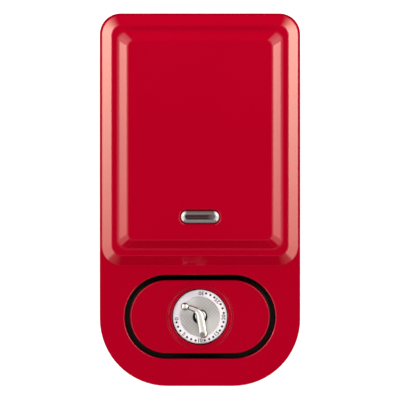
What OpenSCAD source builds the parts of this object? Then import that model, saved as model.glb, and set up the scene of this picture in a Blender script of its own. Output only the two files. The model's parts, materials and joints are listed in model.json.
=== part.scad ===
// Single-slice sandwich press: two hinged heating plates, a loop handle that is part
// of the lid, and a clockwork timer in a console that stands up through the loop.
// Frame: +X right, +Y to the rear hinge, +Z up. The origin is the middle of the
// footprint, on the surface that the rubber feet stand on. All sizes in millimetres.

/* [Outline] */
// Overall width of lid and base
body_w = 134; // [132:1:142]
// Overall length, front to rear
body_l = 249; // [249:1:258]
// Plan radius of the two rear corners
rear_r = 14; // [12:1:16]
// Plan radius of the two front corners
front_r = 45; // [42:1:48]
// Wall of the moulded shells
wall = 2.4; // [2:0.1:2.8]

/* [Heights] */
// Stand-off of the rubber feet
foot_h = 4; // [3:0.5:6]
// Height of the base shell
base_h = 44; // [43:1:50]
// Open line between base and lid
seam = 1; // [0.8:0.1:1.4]
// Height of the lid's skirt, up to the flat handle top
lid_h = 24; // [23:1:28]
// Height of the space for fingers under the loop handle
finger_gap = 15; // [13:1:16]

/* [Raised panel] */
// Distance from the front edge to the panel's foot
panel_from_front = 80.5; // [79:0.5:81]
// Inset of the panel's foot from the outline
panel_inset = 1.5; // [1:0.25:2.5]
// Plan radius of the panel's foot
panel_r = 13; // [11:1:15]
// Height of the first bevel
step1_h = 6.5; // [5:0.5:8]
// Width of the first bevel in plan
bevel1 = 6.7; // [5:0.1:8]
// Width of the ledge between the bevels, at the sides
ledge_side = 3.9; // [3:0.1:6]
// Width of the ledge between the bevels, at front and rear
ledge_end = 4.4; // [3:0.1:6]
// Height of the second bevel
step2_h = 6; // [4:0.5:8]
// Width of the second bevel in plan, at the sides
bevel2_side = 7.1; // [5:0.1:9]
// Width of the second bevel in plan, at front and rear
bevel2_end = 6.1; // [5:0.1:9]

/* [Handle slot and console] */
// Distance from the front edge to the slot's centre line
slot_from_front = 46.2; // [45:0.2:47]
// Width of the loop handle beside the slot
handle_side = 16.6; // [16:0.2:18]
// Depth of the slot in the loop handle, front to rear
slot_l = 56; // [55:0.2:57]
// Gap all round between handle and console
slot_gap = 3.6; // [3.2:0.1:4]
// How far the console's top lies below the handle's top
console_drop = 1; // [0:0.2:2]
// Lip of the console under the base's deck
console_lip = 4; // [3:0.5:5]

/* [Timer dial and lever] */
// Diameter of the printed dial
dial_d = 36.4; // [34:0.2:37]
// Distance of the groove round the dial from the well's wall
collar_gap = 2.9; // [2.4:0.1:3.2]
// Depth of the well that the dial turns in
well_depth = 4; // [3.8:0.1:4.4]
// Thickness of the dial
dial_t = 2.8; // [2.4:0.1:3]
// Diameter of the dial's sunk middle
dial_face_d = 26.6; // [24:0.2:28]
// Reach of the long arm from the axis
arm_reach = 11.3; // [10:0.1:12.5]
// Thickness of the long arm at its tip
arm_d = 5.3; // [4.5:0.1:5.6]
// Reach of the ball arm from the axis
ball_reach = 12.3; // [11:0.1:13]
// Thickness of the thin arm that carries the ball
thin_arm_d = 3.3; // [2.8:0.1:3.8]
// Diameter of the ball
ball_d = 4.8; // [4:0.2:5.4]
// Diameter of the lever's hub
hub_d = 10; // [9:0.2:11]

/* [Heating plates] */
// Distance from the body's side to a plate's flange
plate_side = 6.5; // [6:0.25:8]
// Distance from the inner frame's front edge to a plate's flange, for the catch
catch_zone = 8.8; // [8.6:0.1:10]
// Distance from a plate's flange to the inner frame's rear edge
plate_rear_margin = 7; // [6.5:0.5:9]
// Plan radius of a plate's flange
plate_r = 8; // [6:1:10]
// Thickness of a plate's flange
flange_t = 2.2; // [1.8:0.1:2.4]
// Width of the flange round the dish
flange_w = 6; // [5.5:0.5:7]
// Depth of the dish inside
dish_depth = 11.2; // [10:0.2:12]
// Thickness of the dish's floor
dish_t = 2.5; // [2:0.1:3]
// How far the dish narrows towards its floor, on each side
dish_draft = 3; // [2:0.5:4]
// Number of branding ribs across a dish
rib_count = 7; // [5:1:9]
// Diameter of the sheathed heating tube
heater_d = 6.6; // [6:0.2:7]
// Half spacing of the heater's inner legs
leg_inner = 13; // [12:1:15]
// Half spacing of the heater's outer legs
leg_outer = 38; // [36:1:40]

/* [Hinge and latch] */
// Distance of the hinge axis from the rear edge
hinge_inset = 6; // [5.8:0.1:6.4]
// Diameter of the hinge barrels
barrel_d = 10.6; // [10:0.2:11]
// Diameter of the steel hinge pins
pin_d = 4; // [3:0.5:5]
// Width of the front latch
latch_w = 26; // [22:1:30]
// Thickness of the latch
latch_t = 3.2; // [2.8:0.1:3.6]
// Radius of the latch's pivot end
latch_r = 4; // [3.6:0.1:4.2]
// How far the base's front lies behind the lid's, for the latch
latch_recess = 7; // [6.6:0.2:9]

/* [Lamp] */
// Distance from the panel's foot to the lamp's centre
lamp_from_panel = 32.5; // [30:0.5:36]
// Width of the chromed lamp bezel
bezel_w = 26.2; // [24:0.2:28]
// Depth of the chromed lamp bezel, front to rear
bezel_l = 8.2; // [7.6:0.2:9]

/* [Fits] */
// Clearance between pieces that are fitted together
fit = 0.3; // [0.2:0.05:0.35]
// Radial running clearance of pins and shafts
run = 0.06; // [0.04:0.01:0.08]

/* [Hidden] */
$fn = 64;
HULL_FN = 32;
OVER = 1; // how far a cut runs past the face that it opens

RED = "crimson";
BLACK = [0.1, 0.1, 0.11];
STEEL = [0.72, 0.73, 0.75];
TIN = [0.8, 0.8, 0.79];
BRASS = [0.78, 0.62, 0.32];
COATING = [0.16, 0.16, 0.17];
CERAMIC = [0.93, 0.91, 0.86];

// Screws: head diameter, head height, shank diameter.
BIG_SCREW = [5.8, 1.6, 3];
SMALL_SCREW = [4.6, 1, 2.4];

// Levels, from the floor up.
seam_z = foot_h + base_h + seam / 2;
base_z = foot_h + base_h;
lid_z = base_z + seam;
handle_z = lid_z + lid_h;
step1_z = handle_z + step1_h;
top_z = step1_z + step2_h;
deck_z = lid_z - finger_gap;
console_z = handle_z - console_drop;
lamp_ceiling_z = top_z - wall - 0.15;
lamp_floor_z = lamp_ceiling_z - 7.8;

// Places along Y.
front_y = -body_l / 2;
rear_y = body_l / 2;
slot_y = front_y + slot_from_front;
panel_y = front_y + panel_from_front;
panel_rear_y = rear_y - panel_inset;
panel_mid_y = (panel_y + panel_rear_y) / 2;
chamber_y = panel_y - 2; // outside of the wall in front of the heating chamber
hinge_y = rear_y - hinge_inset;
hinge_z = seam_z;
lamp_y = panel_y + lamp_from_panel;

// Slot of the loop handle, and the console in it.
slot_w = body_w - 2 * handle_side;
island_w = slot_w - 2 * slot_gap;
island_l = slot_l - 2 * slot_gap;
console_lip_t = 2;
console_foot_z = deck_z - wall - fit - console_lip_t;
console_screw_x = island_w / 2 - 20;
well_d = dial_d + 1.2;
collar_d = well_d + 2 * collar_gap;
well_z = console_z - well_depth;
well_floor_t = 2.4;

// Frames that carry the plates.
frame_t = 3;
frame_ledge = 1.1; // thickness of the rebate that a plate's flange rests on
frame_front_y = chamber_y + wall + fit;
frame_rear_y = rear_y - 13.5;
frame_w = body_w - 2 * (wall + fit);
plate_w = body_w - 2 * plate_side;
plate_front_y = frame_front_y + catch_zone;
plate_rear_y = frame_rear_y - plate_rear_margin;
plate_l = plate_rear_y - plate_front_y;
frame_screw_y = frame_front_y + 2.8;
frame_screw_x = plate_w / 2 - 8.5;
frame_rear_screw_x = frame_w / 2 - 2.7;
frame_rear_screw_y = frame_rear_y - 4;
plate_gap = 0.15; // each plate's rim stops this far short of the seam's middle
plate_y = (plate_front_y + plate_rear_y) / 2;
dish_w = plate_w - 2 * flange_w;
dish_l = plate_l - 2 * flange_w;
dish_r = 10;
dish_floor_z = seam_z - plate_gap - dish_depth;
dish_under_z = dish_floor_z - dish_t;
pan_w = dish_w + 5;
pan_l = dish_l + 5;
pan_t = 0.8;
pan_r = 8;
heater_z = dish_under_z - fit - heater_d / 2;
pan_floor_z = heater_z - heater_d / 2 - fit;
pan_top_z = base_z - frame_t - 0.1;
pan_front_y = plate_y - pan_l / 2;
cutout_y = plate_y + 16;
cutout_stud = 12;

// Catches that hold the plates in.
catch_w = 17.4;
catch_travel = 3.2;
catch_t = 3;
catch_top_z = base_z - frame_t - fit;
catch_nose_y = plate_front_y + 3.1;
catch_back_y = catch_nose_y - 7.4;
catch_tab_w = 10;
catch_tab_t = 1.8;
lug_top_z = catch_top_z - catch_t - fit;
tongue_x = 32;
tongue_w = 9;
tongue_t = 2;
tongue_z = base_z - frame_t - fit - tongue_t;
spring_d = 1.8;
spring_wire = 0.4;
spring_hole_d = spring_d + 0.3;
spring_x = 6;
spring_rings = 7;
spring_in_catch = 0.9; // how far each spring reaches into the catch

// Hinge.
barrel_cut = barrel_d / 2 + 0.7;
ear_outer_x = body_w / 2 - rear_r + 3; // stays inside the rounded corners
ear_inner_x = ear_outer_x - 16;
knuckle_inner_x = 20;
knuckle_outer_x = ear_inner_x - 0.5;
base_wall_z = hinge_z - barrel_cut - 3.5;

// Latch and its keeper.
latch_y = front_y + latch_r;
latch_z = lid_z + 13;
latch_side = 0.5;
base_front_y = front_y + latch_recess;
keeper_t = 0.8;
keeper_flange = 8; // part of the keeper that lies on the deck
keeper_screw_x = 8;
keeper_screw_in = keeper_flange / 2;
keeper_lip_z = deck_z - 5.4;
latch_pin_d = 2.4;
latch_nose = 1.7; // reach of the hook's nose beyond the leaf

// Timer movement.
dial_z = well_z + SMALL_SCREW[1] + fit;
dial_top_z = dial_z + dial_t;
dial_face_z = dial_top_z - 0.4;
move_w = 62;
move_l = 38;
move_plate_t = 1;
move_top_z = well_z - well_floor_t - fit;
move_bottom_z = move_top_z - 22.3;
timer_screw_x = 13.5;
move_r = 12;
pillar_x = move_w / 2 - 5.5;
pillar_y = move_l / 2 - 6;
arbor_d = 4;
pivot_d = 2.4;
small_pivot_d = 1.4;
wheel_teeth = 48;
pinion_teeth = 12;
module1 = 0.6;
module2 = 0.45;
pressure = 25;
backlash = 0.06;
second_dist = module1 * (wheel_teeth + pinion_teeth) / 2;
escape_dist = module2 * (wheel_teeth + pinion_teeth) / 2;
escape_dir = 100;
second_pos = [second_dist, 0];
escape_pos = second_pos + escape_dist * [cos(escape_dir), sin(escape_dir)];
main_wheel_z = move_top_z - 5.2;
second_wheel_z = main_wheel_z - 5.2;
escape_wheel_z = second_wheel_z - 4;
cam_z = move_top_z - 2.8;
cam_r = 9;
mainspring_r = 10.5;
spring_strip = 0.5;

// Bottom cover, feet, gland and terminal block.
cover_t = 3;
cover_z_gap = 0.5; // handle cover above the skirt's lower edge
cover_screw_places = [
    [body_w / 2 - wall - 3, rear_y - 30], [body_w / 2 - wall - 3, panel_y + 24],
    [24, base_front_y + wall + 3]
];
foot_places = [[body_w / 2 - 17, rear_y - 26], [body_w / 2 - 25, front_y + 32]];
foot_d = 16;
foot_plug_d = 6;
gland_x = 29 - body_w / 2;
gland_z = foot_h + 15.5;
gland_bore_d = 7.2;
gland_pocket = [22, 7, 18];
block_size = [24, 12, 9];
block_y = rear_y - 38;
lead_d = 2.2;
lead_end = 0.04; // the leads stop this far short of what they are joined to

// Places that the leads run between: the heater's pins and the timer's switch.
pin_end_y = pan_front_y - 10.5;
under_deck_z = deck_z - wall - lead_d;
low_z = foot_h + cover_t + 5; // level of the leads above the bottom cover
switch_x = -move_w / 2 + 1; // outer face of the switch block
switch_y = slot_y - 2.2;
switch_block_w = 6;
leaf_x = switch_x + switch_block_w + 0.1; // root of the switch's two leaves
leaf_t = 0.4;

// Centrelines of the leads inside the base, from end to end.
LEADS = [
    // terminal block to the left leg of the heater
    [[gland_x, block_y - block_size[1] / 2 - lead_end, low_z],
     [gland_x, block_y - block_size[1] / 2 - 8, low_z], [gland_x - 6, plate_y + 15, low_z],
     [gland_x - 12, plate_y - 25, low_z], [gland_x - 12, chamber_y + 16, low_z],
     [-leg_outer - 10, chamber_y + 2, low_z + 3], [-leg_outer - 4, chamber_y - 2, under_deck_z - 7],
     [-leg_outer - 1, pin_end_y - 4, under_deck_z - 1.6],
     [-leg_outer, pin_end_y - 1.2, heater_z], [-leg_outer, pin_end_y - lead_end, heater_z]],
    // right leg of the heater to the timer's switch
    [[leg_outer, pin_end_y - lead_end, heater_z], [leg_outer, pin_end_y - 1.2, heater_z],
     [leg_outer + 1, pin_end_y - 4, under_deck_z - 1.6],
     [leg_outer + 2, chamber_y - 5, under_deck_z - 7], [30, chamber_y - 11, under_deck_z - 11],
     [8, slot_y + 14, under_deck_z - 11], [-20, slot_y + 7, under_deck_z - 7],
     [-36, slot_y + 1, under_deck_z + 3], [-37, slot_y - 1, cam_z - 16], [-35, switch_y, cam_z - 5],
     [switch_x - 2.5, switch_y, cam_z - 0.6], [switch_x - lead_end, switch_y, cam_z - 0.3]]
];

// ---------------------------------------------------------------- outlines

// A shape with straight sides and two radii, rf at the front and rr at the rear.
module round_plan(w, l, rf, rr) {
    polygon([
        [-w / 2, -l / 2 + rf], [-w / 2 + rf, -l / 2], [w / 2 - rf, -l / 2],
        [w / 2, -l / 2 + rf], [w / 2, l / 2 - rr], [w / 2 - rr, l / 2],
        [-w / 2 + rr, l / 2], [-w / 2, l / 2 - rr]
    ]);
    for (side = [-1, 1]) {
        translate([side * (w / 2 - rf), -l / 2 + rf]) circle(rf);
        translate([side * (w / 2 - rr), l / 2 - rr]) circle(rr);
    }
}

module body_plan(inset = 0) {
    round_plan(body_w - 2 * inset, body_l - 2 * inset, front_r - inset, rear_r - inset);
}

// Outline of the base, set back in front so that the latch can hang there.
module base_plan(inset = 0) {
    translate([0, latch_recess / 2])
        round_plan(body_w - 2 * inset, body_l - latch_recess - 2 * inset, front_r - inset,
                   rear_r - inset);
}

// A bar with round ends, w long along X and l wide.
module stadium(w, l) {
    square([w - l, l], center = true);
    for (side = [-1, 1]) translate([side * (w - l) / 2, 0]) circle(l / 2);
}

module slot_plan(grow = 0) {
    translate([0, slot_y]) stadium(slot_w + 2 * grow, slot_l + 2 * grow);
}

module console_plan(grow = 0) {
    translate([0, slot_y]) stadium(island_w + 2 * grow, island_l + 2 * grow);
}

// The part of the children that lies between two places along Y.
module between(y0, y1) {
    intersection() {
        children();
        translate([-body_w, y0]) square([2 * body_w, y1 - y0]);
    }
}

// A solid that tapers from one rounded rectangle to another.
module taper(size0, r0, size1, r1, h) {
    slice = 0.01;
    hull() {
        linear_extrude(slice) round_plan(size0[0], size0[1], r0, r0, $fn = HULL_FN);
        translate([0, 0, h - slice])
            linear_extrude(slice) round_plan(size1[0], size1[1], r1, r1, $fn = HULL_FN);
    }
}

// The children on both sides of the middle plane.
module both_sides() {
    children();
    mirror([1, 0, 0]) children();
}

// The children turned over about the seam, for the lid's copies of base pieces.
module in_lid() {
    translate([0, 0, 2 * seam_z]) mirror([0, 0, 1]) children();
}

// A profile drawn in Y and Z, run along X from x0 to x1.
module along_x(x0, x1) {
    translate([x0, 0, 0]) rotate([90, 0, 90]) linear_extrude(x1 - x0) children();
}

// A screw whose head stands on z = 0 and whose shank runs down.
module screw(kind, length) {
    slot_w = kind[2] / 4;
    difference() {
        union() {
            cylinder(d = kind[0], h = kind[1]);
            translate([0, 0, -length]) cylinder(d = kind[2], h = length);
        }
        for (turn = [0, 90])
            rotate(turn)
                translate([-kind[0] * 0.3, -slot_w / 2, kind[1] * 0.4])
                    cube([kind[0] * 0.6, slot_w, kind[1]]);
    }
}

// ---------------------------------------------------------------- base

module cover_screw_holes(d, z, h) {
    both_sides()
        for (place = cover_screw_places)
            translate([place[0], place[1], z]) cylinder(d = d, h = h);
}

// Lower housing: a full-height chamber at the rear and a low front that is the
// lower half of the handle. The console stands in the hole in its deck.
module base_shell() {
    boss_h = 20;
    gland_y = rear_y - gland_pocket[1];
    color(RED)
    difference() {
        union() {
            difference() {
                union() {
                    translate([0, 0, foot_h]) linear_extrude(base_h)
                        between(chamber_y, rear_y) body_plan();
                    translate([0, 0, foot_h]) linear_extrude(deck_z - foot_h) base_plan();
                }
                // hollow of the heating chamber
                translate([0, 0, foot_h - OVER]) linear_extrude(base_h + 2 * OVER)
                    between(chamber_y + wall, rear_y) body_plan(wall);
                // hollow of the low front
                translate([0, 0, foot_h - OVER])
                    linear_extrude(deck_z - foot_h - wall + OVER) base_plan(wall);
            }
            // housing of the gland pocket
            translate([gland_x - gland_pocket[0] / 2 - wall, gland_y - wall,
                       gland_z - gland_pocket[2] / 2 - wall])
                cube([gland_pocket[0] + 2 * wall, gland_pocket[1] + wall / 2,
                      gland_pocket[2] + 2 * wall]);
            // bosses for the bottom cover, merged with the side walls
            cover_screw_holes(8, foot_h + cover_t + fit, boss_h);
            // bosses for the inner frame
            both_sides() {
                translate([frame_screw_x, frame_screw_y, deck_z + 2])
                    cylinder(d = 6.8, h = base_z - frame_t - fit - deck_z - 2);
                translate([frame_rear_screw_x, frame_rear_screw_y, deck_z - 6])
                    cylinder(d = 6.8, h = base_z - frame_t - fit - deck_z + 6);
            }
        }
        // hole for the console
        translate([0, 0, deck_z - 2 * wall]) linear_extrude(4 * wall) console_plan(fit / 2);
        // gland pocket and its bore
        translate([gland_x - gland_pocket[0] / 2, gland_y, gland_z - gland_pocket[2] / 2])
            cube([gland_pocket[0], gland_pocket[1] + OVER, gland_pocket[2]]);
        translate([gland_x, gland_y + OVER, gland_z])
            rotate([90, 0, 0]) cylinder(d = gland_bore_d + 3 + 2 * run, h = wall + 2 * OVER);
        // low rear wall, so that the lid can swing behind it
        along_x(-body_w, body_w) translate([hinge_y - barrel_cut - 1, base_wall_z])
            square([3 * hinge_inset + barrel_cut, body_w]);
        // pilot holes
        cover_screw_holes(BIG_SCREW[2] + 2 * run, foot_h, cover_t + 12);
        both_sides() {
            translate([frame_screw_x, frame_screw_y, deck_z + 4])
                cylinder(d = SMALL_SCREW[2] + 2 * run, h = base_h);
            translate([frame_rear_screw_x, frame_rear_screw_y, deck_z + 2])
                cylinder(d = SMALL_SCREW[2] + 2 * run, h = base_h);
        }
        keeper_holes(SMALL_SCREW[2] + 2 * run);
        console_screw_holes(SMALL_SCREW[2] + 2 * run);
    }
}

module keeper_holes(d) {
    for (x = [-keeper_screw_x, keeper_screw_x])
        translate([x, base_front_y + keeper_screw_in, deck_z - 2 * wall])
            cylinder(d = d, h = 4 * wall);
}

// Blind holes in the deck's underside, and through holes in the console's lip.
module console_screw_holes(d) {
    for (x = [-1, 1], y = [-1, 1])
        translate([x * console_screw_x, slot_y + y * (island_l / 2 + console_lip / 2),
                   console_foot_z - OVER])
            cylinder(d = d, h = console_lip_t + fit + OVER + wall * 0.8);
}

module bottom_cover() {
    slot_size = [26, 2.6];
    color(BLACK)
    difference() {
        translate([0, 0, foot_h]) linear_extrude(cover_t) base_plan(wall + fit);
        cover_screw_holes(BIG_SCREW[2] + 0.4, foot_h - OVER, cover_t + 2 * OVER);
        cover_screw_holes(BIG_SCREW[0] + 0.8, foot_h - OVER, OVER + 2);
        // room for the bosses of the shell is above the cover; feet plug in from below
        both_sides()
            for (place = foot_places)
                translate([place[0], place[1], foot_h - OVER])
                    cylinder(d = foot_plug_d + 0.2, h = cover_t + 2 * OVER);
        // vent slots under the heating chamber
        for (row = [0:6], side = [-1, 1])
            translate([side * 20, panel_mid_y - 30 + row * 9, foot_h - OVER])
                linear_extrude(cover_t + 2 * OVER) stadium(slot_size[0], slot_size[1]);
    }
}

module cover_screws() {
    color(STEEL)
    both_sides()
        for (place = cover_screw_places)
            translate([place[0], place[1], foot_h + 2]) mirror([0, 0, 1])
                screw(BIG_SCREW, 11);
}

module rubber_feet() {
    rim = 1.2;
    color([0.13, 0.13, 0.13])
    both_sides()
        for (place = foot_places)
            translate([place[0], place[1], 0]) {
                rotate_extrude() polygon([
                    [0, rim / 2], [foot_d / 2 - 2 * rim, rim / 2], [foot_d / 2 - 2 * rim, 0],
                    [foot_d / 2 - rim, 0], [foot_d / 2, foot_h], [foot_plug_d / 2, foot_h],
                    [foot_plug_d / 2, foot_h + cover_t - 0.4], [0, foot_h + cover_t - 0.4]
                ]);
            }
}

// Places of the four screws that hold a frame.
module frame_screw_spots() {
    both_sides() {
        translate([frame_screw_x, frame_screw_y, 0]) children();
        translate([frame_rear_screw_x, frame_rear_screw_y, 0]) children();
    }
}

// Plate of a frame with the rebated opening, in the base's position. front is
// where its front edge lies.
module frame_plate(front) {
    difference() {
        translate([0, 0, base_z - frame_t]) linear_extrude(frame_t)
            between(front, frame_rear_y) body_plan(wall + fit);
        translate([0, plate_y, base_z - frame_t + frame_ledge]) linear_extrude(frame_t)
            round_plan(plate_w + 1, plate_l + 1, plate_r + 0.5, plate_r + 0.5);
        translate([0, plate_y, base_z - frame_t - OVER]) linear_extrude(frame_t)
            round_plan(pan_w + 1.5, pan_l + 1.5, pan_r, pan_r);
        // slot for the catch's finger tab
        translate([-catch_tab_w / 2 - fit, catch_back_y - catch_travel - fit,
                   base_z - frame_t - OVER])
            cube([catch_tab_w + 2 * fit, catch_tab_t + catch_travel + 2 * fit,
                  frame_t + 2 * OVER]);
        frame_screw_spots() {
            translate([0, 0, base_z - frame_t - OVER])
                cylinder(d = SMALL_SCREW[2] + 0.3, h = frame_t + 2 * OVER);
            translate([0, 0, base_z - 1.3]) cylinder(d = SMALL_SCREW[0] + 0.4, h = 1.3 + OVER);
        }
    }
    // rails that the catch slides between, with lips under its edges
    both_sides()
        translate([catch_w / 2 + fit, catch_back_y - catch_travel - 0.4, 0]) {
            translate([0, 0, lug_top_z - 1]) cube([1.8, 9, base_z - frame_t - lug_top_z + 1.2]);
            translate([-1.6, 0, lug_top_z - 1]) cube([1.8, 9, 1]);
        }
}

// One hinge barrel between x0 and x1 with its arm to the frame.
module hinge_knuckle(x0, x1) {
    along_x(x0, x1) {
        translate([hinge_y, hinge_z]) circle(d = barrel_d);
        translate([frame_rear_y - 2, base_z - frame_t])
            square([hinge_y - frame_rear_y + 2, frame_t]);
    }
}

module barrel_bore(x0, x1) {
    translate([x0, hinge_y, hinge_z]) rotate([0, 90, 0])
        cylinder(d = pin_d + 2 * run, h = x1 - x0);
}

// Black heat-proof frame of the base, with the outer hinge ears. Behind it an apron
// and a shelf close the chamber under the hinge.
module base_frame() {
    apron_t = 2;
    shelf_z = base_wall_z - 3;
    color(BLACK)
    difference() {
        union() {
            frame_plate(frame_front_y);
            both_sides() hinge_knuckle(ear_inner_x, ear_outer_x);
            translate([-ear_outer_x, frame_rear_y - apron_t, shelf_z])
                cube([2 * ear_outer_x, apron_t, base_z - frame_t - shelf_z + 0.2]);
            translate([0, 0, shelf_z]) linear_extrude(apron_t)
                between(frame_rear_y - 0.3, rear_y) body_plan(wall + fit);
        }
        both_sides() barrel_bore(ear_inner_x - OVER, ear_outer_x - 2.4);
    }
}

module frame_screws_low() {
    frame_screw_spots() translate([0, 0, base_z - 1.3]) screw(SMALL_SCREW, 8);
}

module base_frame_screws() {
    color(STEEL) frame_screws_low();
}

// Bright pan under the heater, hung from the frame by its rim.
module reflector() {
    leg_hole = 10.2;
    difference() {
        translate([0, plate_y, 0]) {
            translate([0, 0, pan_floor_z - pan_t])
                linear_extrude(pan_top_z - pan_floor_z + pan_t)
                    round_plan(pan_w, pan_l, pan_r, pan_r);
            translate([0, 0, pan_top_z - pan_t]) linear_extrude(pan_t)
                round_plan(pan_w + 5, pan_l + 5, pan_r + 2.5, pan_r + 2.5);
        }
        translate([0, plate_y, pan_floor_z]) linear_extrude(base_h)
            round_plan(pan_w - 2 * pan_t, pan_l - 2 * pan_t, pan_r - pan_t, pan_r - pan_t);
        both_sides() translate([leg_outer, pan_front_y + 5, heater_z]) rotate([90, 0, 0])
            cylinder(d = leg_hole, h = 10);
        // notch for the plate's lug and the catch's nose
        translate([-catch_w / 2 - 3, pan_front_y - 5, lug_top_z - 3.5])
            cube([catch_w + 6, 9, base_h]);
        // notches for the plate's rear tongues
        both_sides() translate([tongue_x - tongue_w / 2 - 1, plate_rear_y - flange_w - 4,
                                tongue_z - 1])
            cube([tongue_w + 2, flange_w + 9, base_h]);
        // holes over the mounting studs of the thermal cutout
        for (y = [-cutout_stud, cutout_stud])
            translate([0, cutout_y + y, pan_floor_z - 2 * pan_t])
                cylinder(d = 3.2, h = 4 * pan_t);
    }
}

module lower_reflector() {
    color(TIN) reflector();
}

// Sheathed tube bent in four legs. Its cold pins leave through the pan's front wall.
module heater() {
    rear_bend = (leg_outer - leg_inner) / 2;
    rear_bend_y = plate_y + dish_l / 2 - rear_bend - heater_d;
    front_bend_y = pan_front_y + leg_inner + heater_d + 4;
    leg_end_y = pan_front_y - 6;
    translate([0, 0, heater_z]) {
        both_sides() {
            translate([leg_outer, rear_bend_y, 0]) rotate([90, 0, 0])
                cylinder(d = heater_d, h = rear_bend_y - leg_end_y);
            translate([leg_inner, rear_bend_y, 0]) rotate([90, 0, 0])
                cylinder(d = heater_d, h = rear_bend_y - front_bend_y);
            translate([leg_outer, leg_end_y + 0.01, 0]) rotate([90, 0, 0])
                cylinder(d = heater_d * 0.4, h = 4.5);
            translate([leg_inner + rear_bend, rear_bend_y, 0])
                rotate_extrude(angle = 180) translate([rear_bend, 0]) circle(d = heater_d);
        }
        translate([0, front_bend_y, 0]) rotate(180)
            rotate_extrude(angle = 180) translate([leg_inner, 0]) circle(d = heater_d);
    }
}

module lower_heater() {
    color(STEEL) heater();
}

// Ceramic bushes round the heater's legs where they pass the pan.
module heater_bushes() {
    both_sides() translate([leg_outer, pan_front_y - 2, heater_z]) rotate([-90, 0, 0])
        difference() {
            union() {
                cylinder(d = 9.9, h = 4.4);
                cylinder(d = 12, h = 1.8);
            }
            translate([0, 0, -OVER]) cylinder(d = heater_d + 2 * run, h = 4.4 + 2 * OVER);
        }
}

module lower_heater_bushes() {
    color(CERAMIC) heater_bushes();
}

// Cast plate: flange, tapered dish, branding ribs and the lug that the catch holds.
module cast_plate() {
    flange_z = seam_z - plate_gap - flange_t;
    rib = [dish_w - 2 * dish_draft - 16, 3, 1.2];
    rib_pitch = (dish_l - 2 * dish_draft - 26) / (rib_count - 1);
    translate([0, plate_y, 0]) {
        difference() {
            union() {
                translate([0, 0, flange_z]) linear_extrude(flange_t)
                    round_plan(plate_w, plate_l, plate_r, plate_r);
                translate([0, 0, dish_under_z])
                    taper([dish_w - 2 * dish_draft, dish_l - 2 * dish_draft],
                          dish_r - dish_draft, [dish_w, dish_l], dish_r,
                          flange_z - dish_under_z + 0.2);
            }
            translate([0, 0, dish_floor_z])
                taper([dish_w - 2 * (dish_draft + dish_t), dish_l - 2 * (dish_draft + dish_t)],
                      dish_r - dish_draft - dish_t / 2, [dish_w - 2 * dish_t, dish_l - 2 * dish_t],
                      dish_r - dish_t / 2, dish_depth + 0.1);
        }
        for (i = [0:rib_count - 1])
            translate([0, (i - (rib_count - 1) / 2) * rib_pitch, dish_floor_z - 0.1])
                rotate([90, 0, 90]) linear_extrude(rib[0], center = true)
                    polygon([[-rib[1] / 2, 0], [rib[1] / 2, 0],
                             [rib[1] / 4, rib[2] + 0.1], [-rib[1] / 4, rib[2] + 0.1]]);
    }
    // front lug under the catch's nose, and rear tongues under the frame's edge
    translate([-6, plate_front_y + 0.1, lug_top_z - 2]) cube([12, flange_w + 3, 2]);
    both_sides() translate([tongue_x - tongue_w / 2, plate_rear_y - flange_w - 3, tongue_z])
        cube([tongue_w, flange_w + 2.6, tongue_t]);
}

module lower_plate() {
    color(COATING) cast_plate();
}

// Spring-loaded bolt with a finger tab that comes up through the frame.
module plate_catch() {
    difference() {
        translate([-catch_w / 2, catch_back_y, catch_top_z - catch_t])
            cube([catch_w, catch_nose_y - catch_back_y - 1.2, catch_t]);
        for (x = [-spring_x, spring_x])
            translate([x, catch_back_y - OVER, catch_top_z - catch_t / 2]) rotate([-90, 0, 0])
                cylinder(d = spring_hole_d, h = OVER + spring_in_catch + catch_travel + 0.3);
    }
    // nose, bevelled so that a plate pushed down slips past it
    along_x(-6, 6) polygon([
        [catch_nose_y - 1.3, catch_top_z - catch_t], [catch_nose_y, catch_top_z - catch_t],
        [catch_nose_y, catch_top_z - 1.2], [catch_nose_y - 1.3, catch_top_z]
    ]);
    translate([-catch_tab_w / 2, catch_back_y, catch_top_z - 0.2])
        cube([catch_tab_w, catch_tab_t, base_z + 0.3 - catch_top_z + 0.2]);
}

module lower_catch() {
    color(BLACK) plate_catch();
}

// Two small springs that stand on the wall in front and reach into the catch.
module catch_springs() {
    seat_y = chamber_y + wall;
    reach = catch_back_y + spring_in_catch - seat_y;
    pitch = (reach - spring_wire) / (spring_rings - 1);
    for (x = [-spring_x, spring_x], i = [0:spring_rings - 1])
        translate([x, seat_y + spring_wire / 2 + i * pitch, catch_top_z - catch_t / 2])
            rotate([90, 0, 0]) rotate_extrude()
                translate([(spring_d - spring_wire) / 2, 0]) circle(d = spring_wire, $fn = 16);
}

module lower_catch_spring() {
    color(STEEL) catch_springs();
}

// Round bimetal cutout clipped under the pan.
module thermal_cutout() {
    color([0.85, 0.82, 0.7])
    translate([0, cutout_y, pan_floor_z - pan_t - 0.2]) {
        translate([0, 0, -7]) cylinder(d = 15, h = 7);
        translate([-4, -cutout_stud - 3, -0.9]) cube([8, 2 * cutout_stud + 6, 0.9]);
        for (y = [-cutout_stud, cutout_stud])
            translate([0, y, -2]) cylinder(d = 2.8, h = 2 + 2.5 * pan_t);
        for (x = [-5, 5]) translate([x - 0.4, -3, -13]) cube([0.8, 6, 7]);
    }
}

module terminal_block() {
    floor_z = foot_h + cover_t + 0.2;
    color(CERAMIC)
    difference() {
        translate([gland_x - block_size[0] / 2, block_y - block_size[1] / 2, floor_z])
            cube(block_size);
        for (x = [-7, 0, 7])
            translate([gland_x + x, block_y, floor_z + 5.5]) cylinder(d = 4, h = 5);
    }
}

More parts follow.
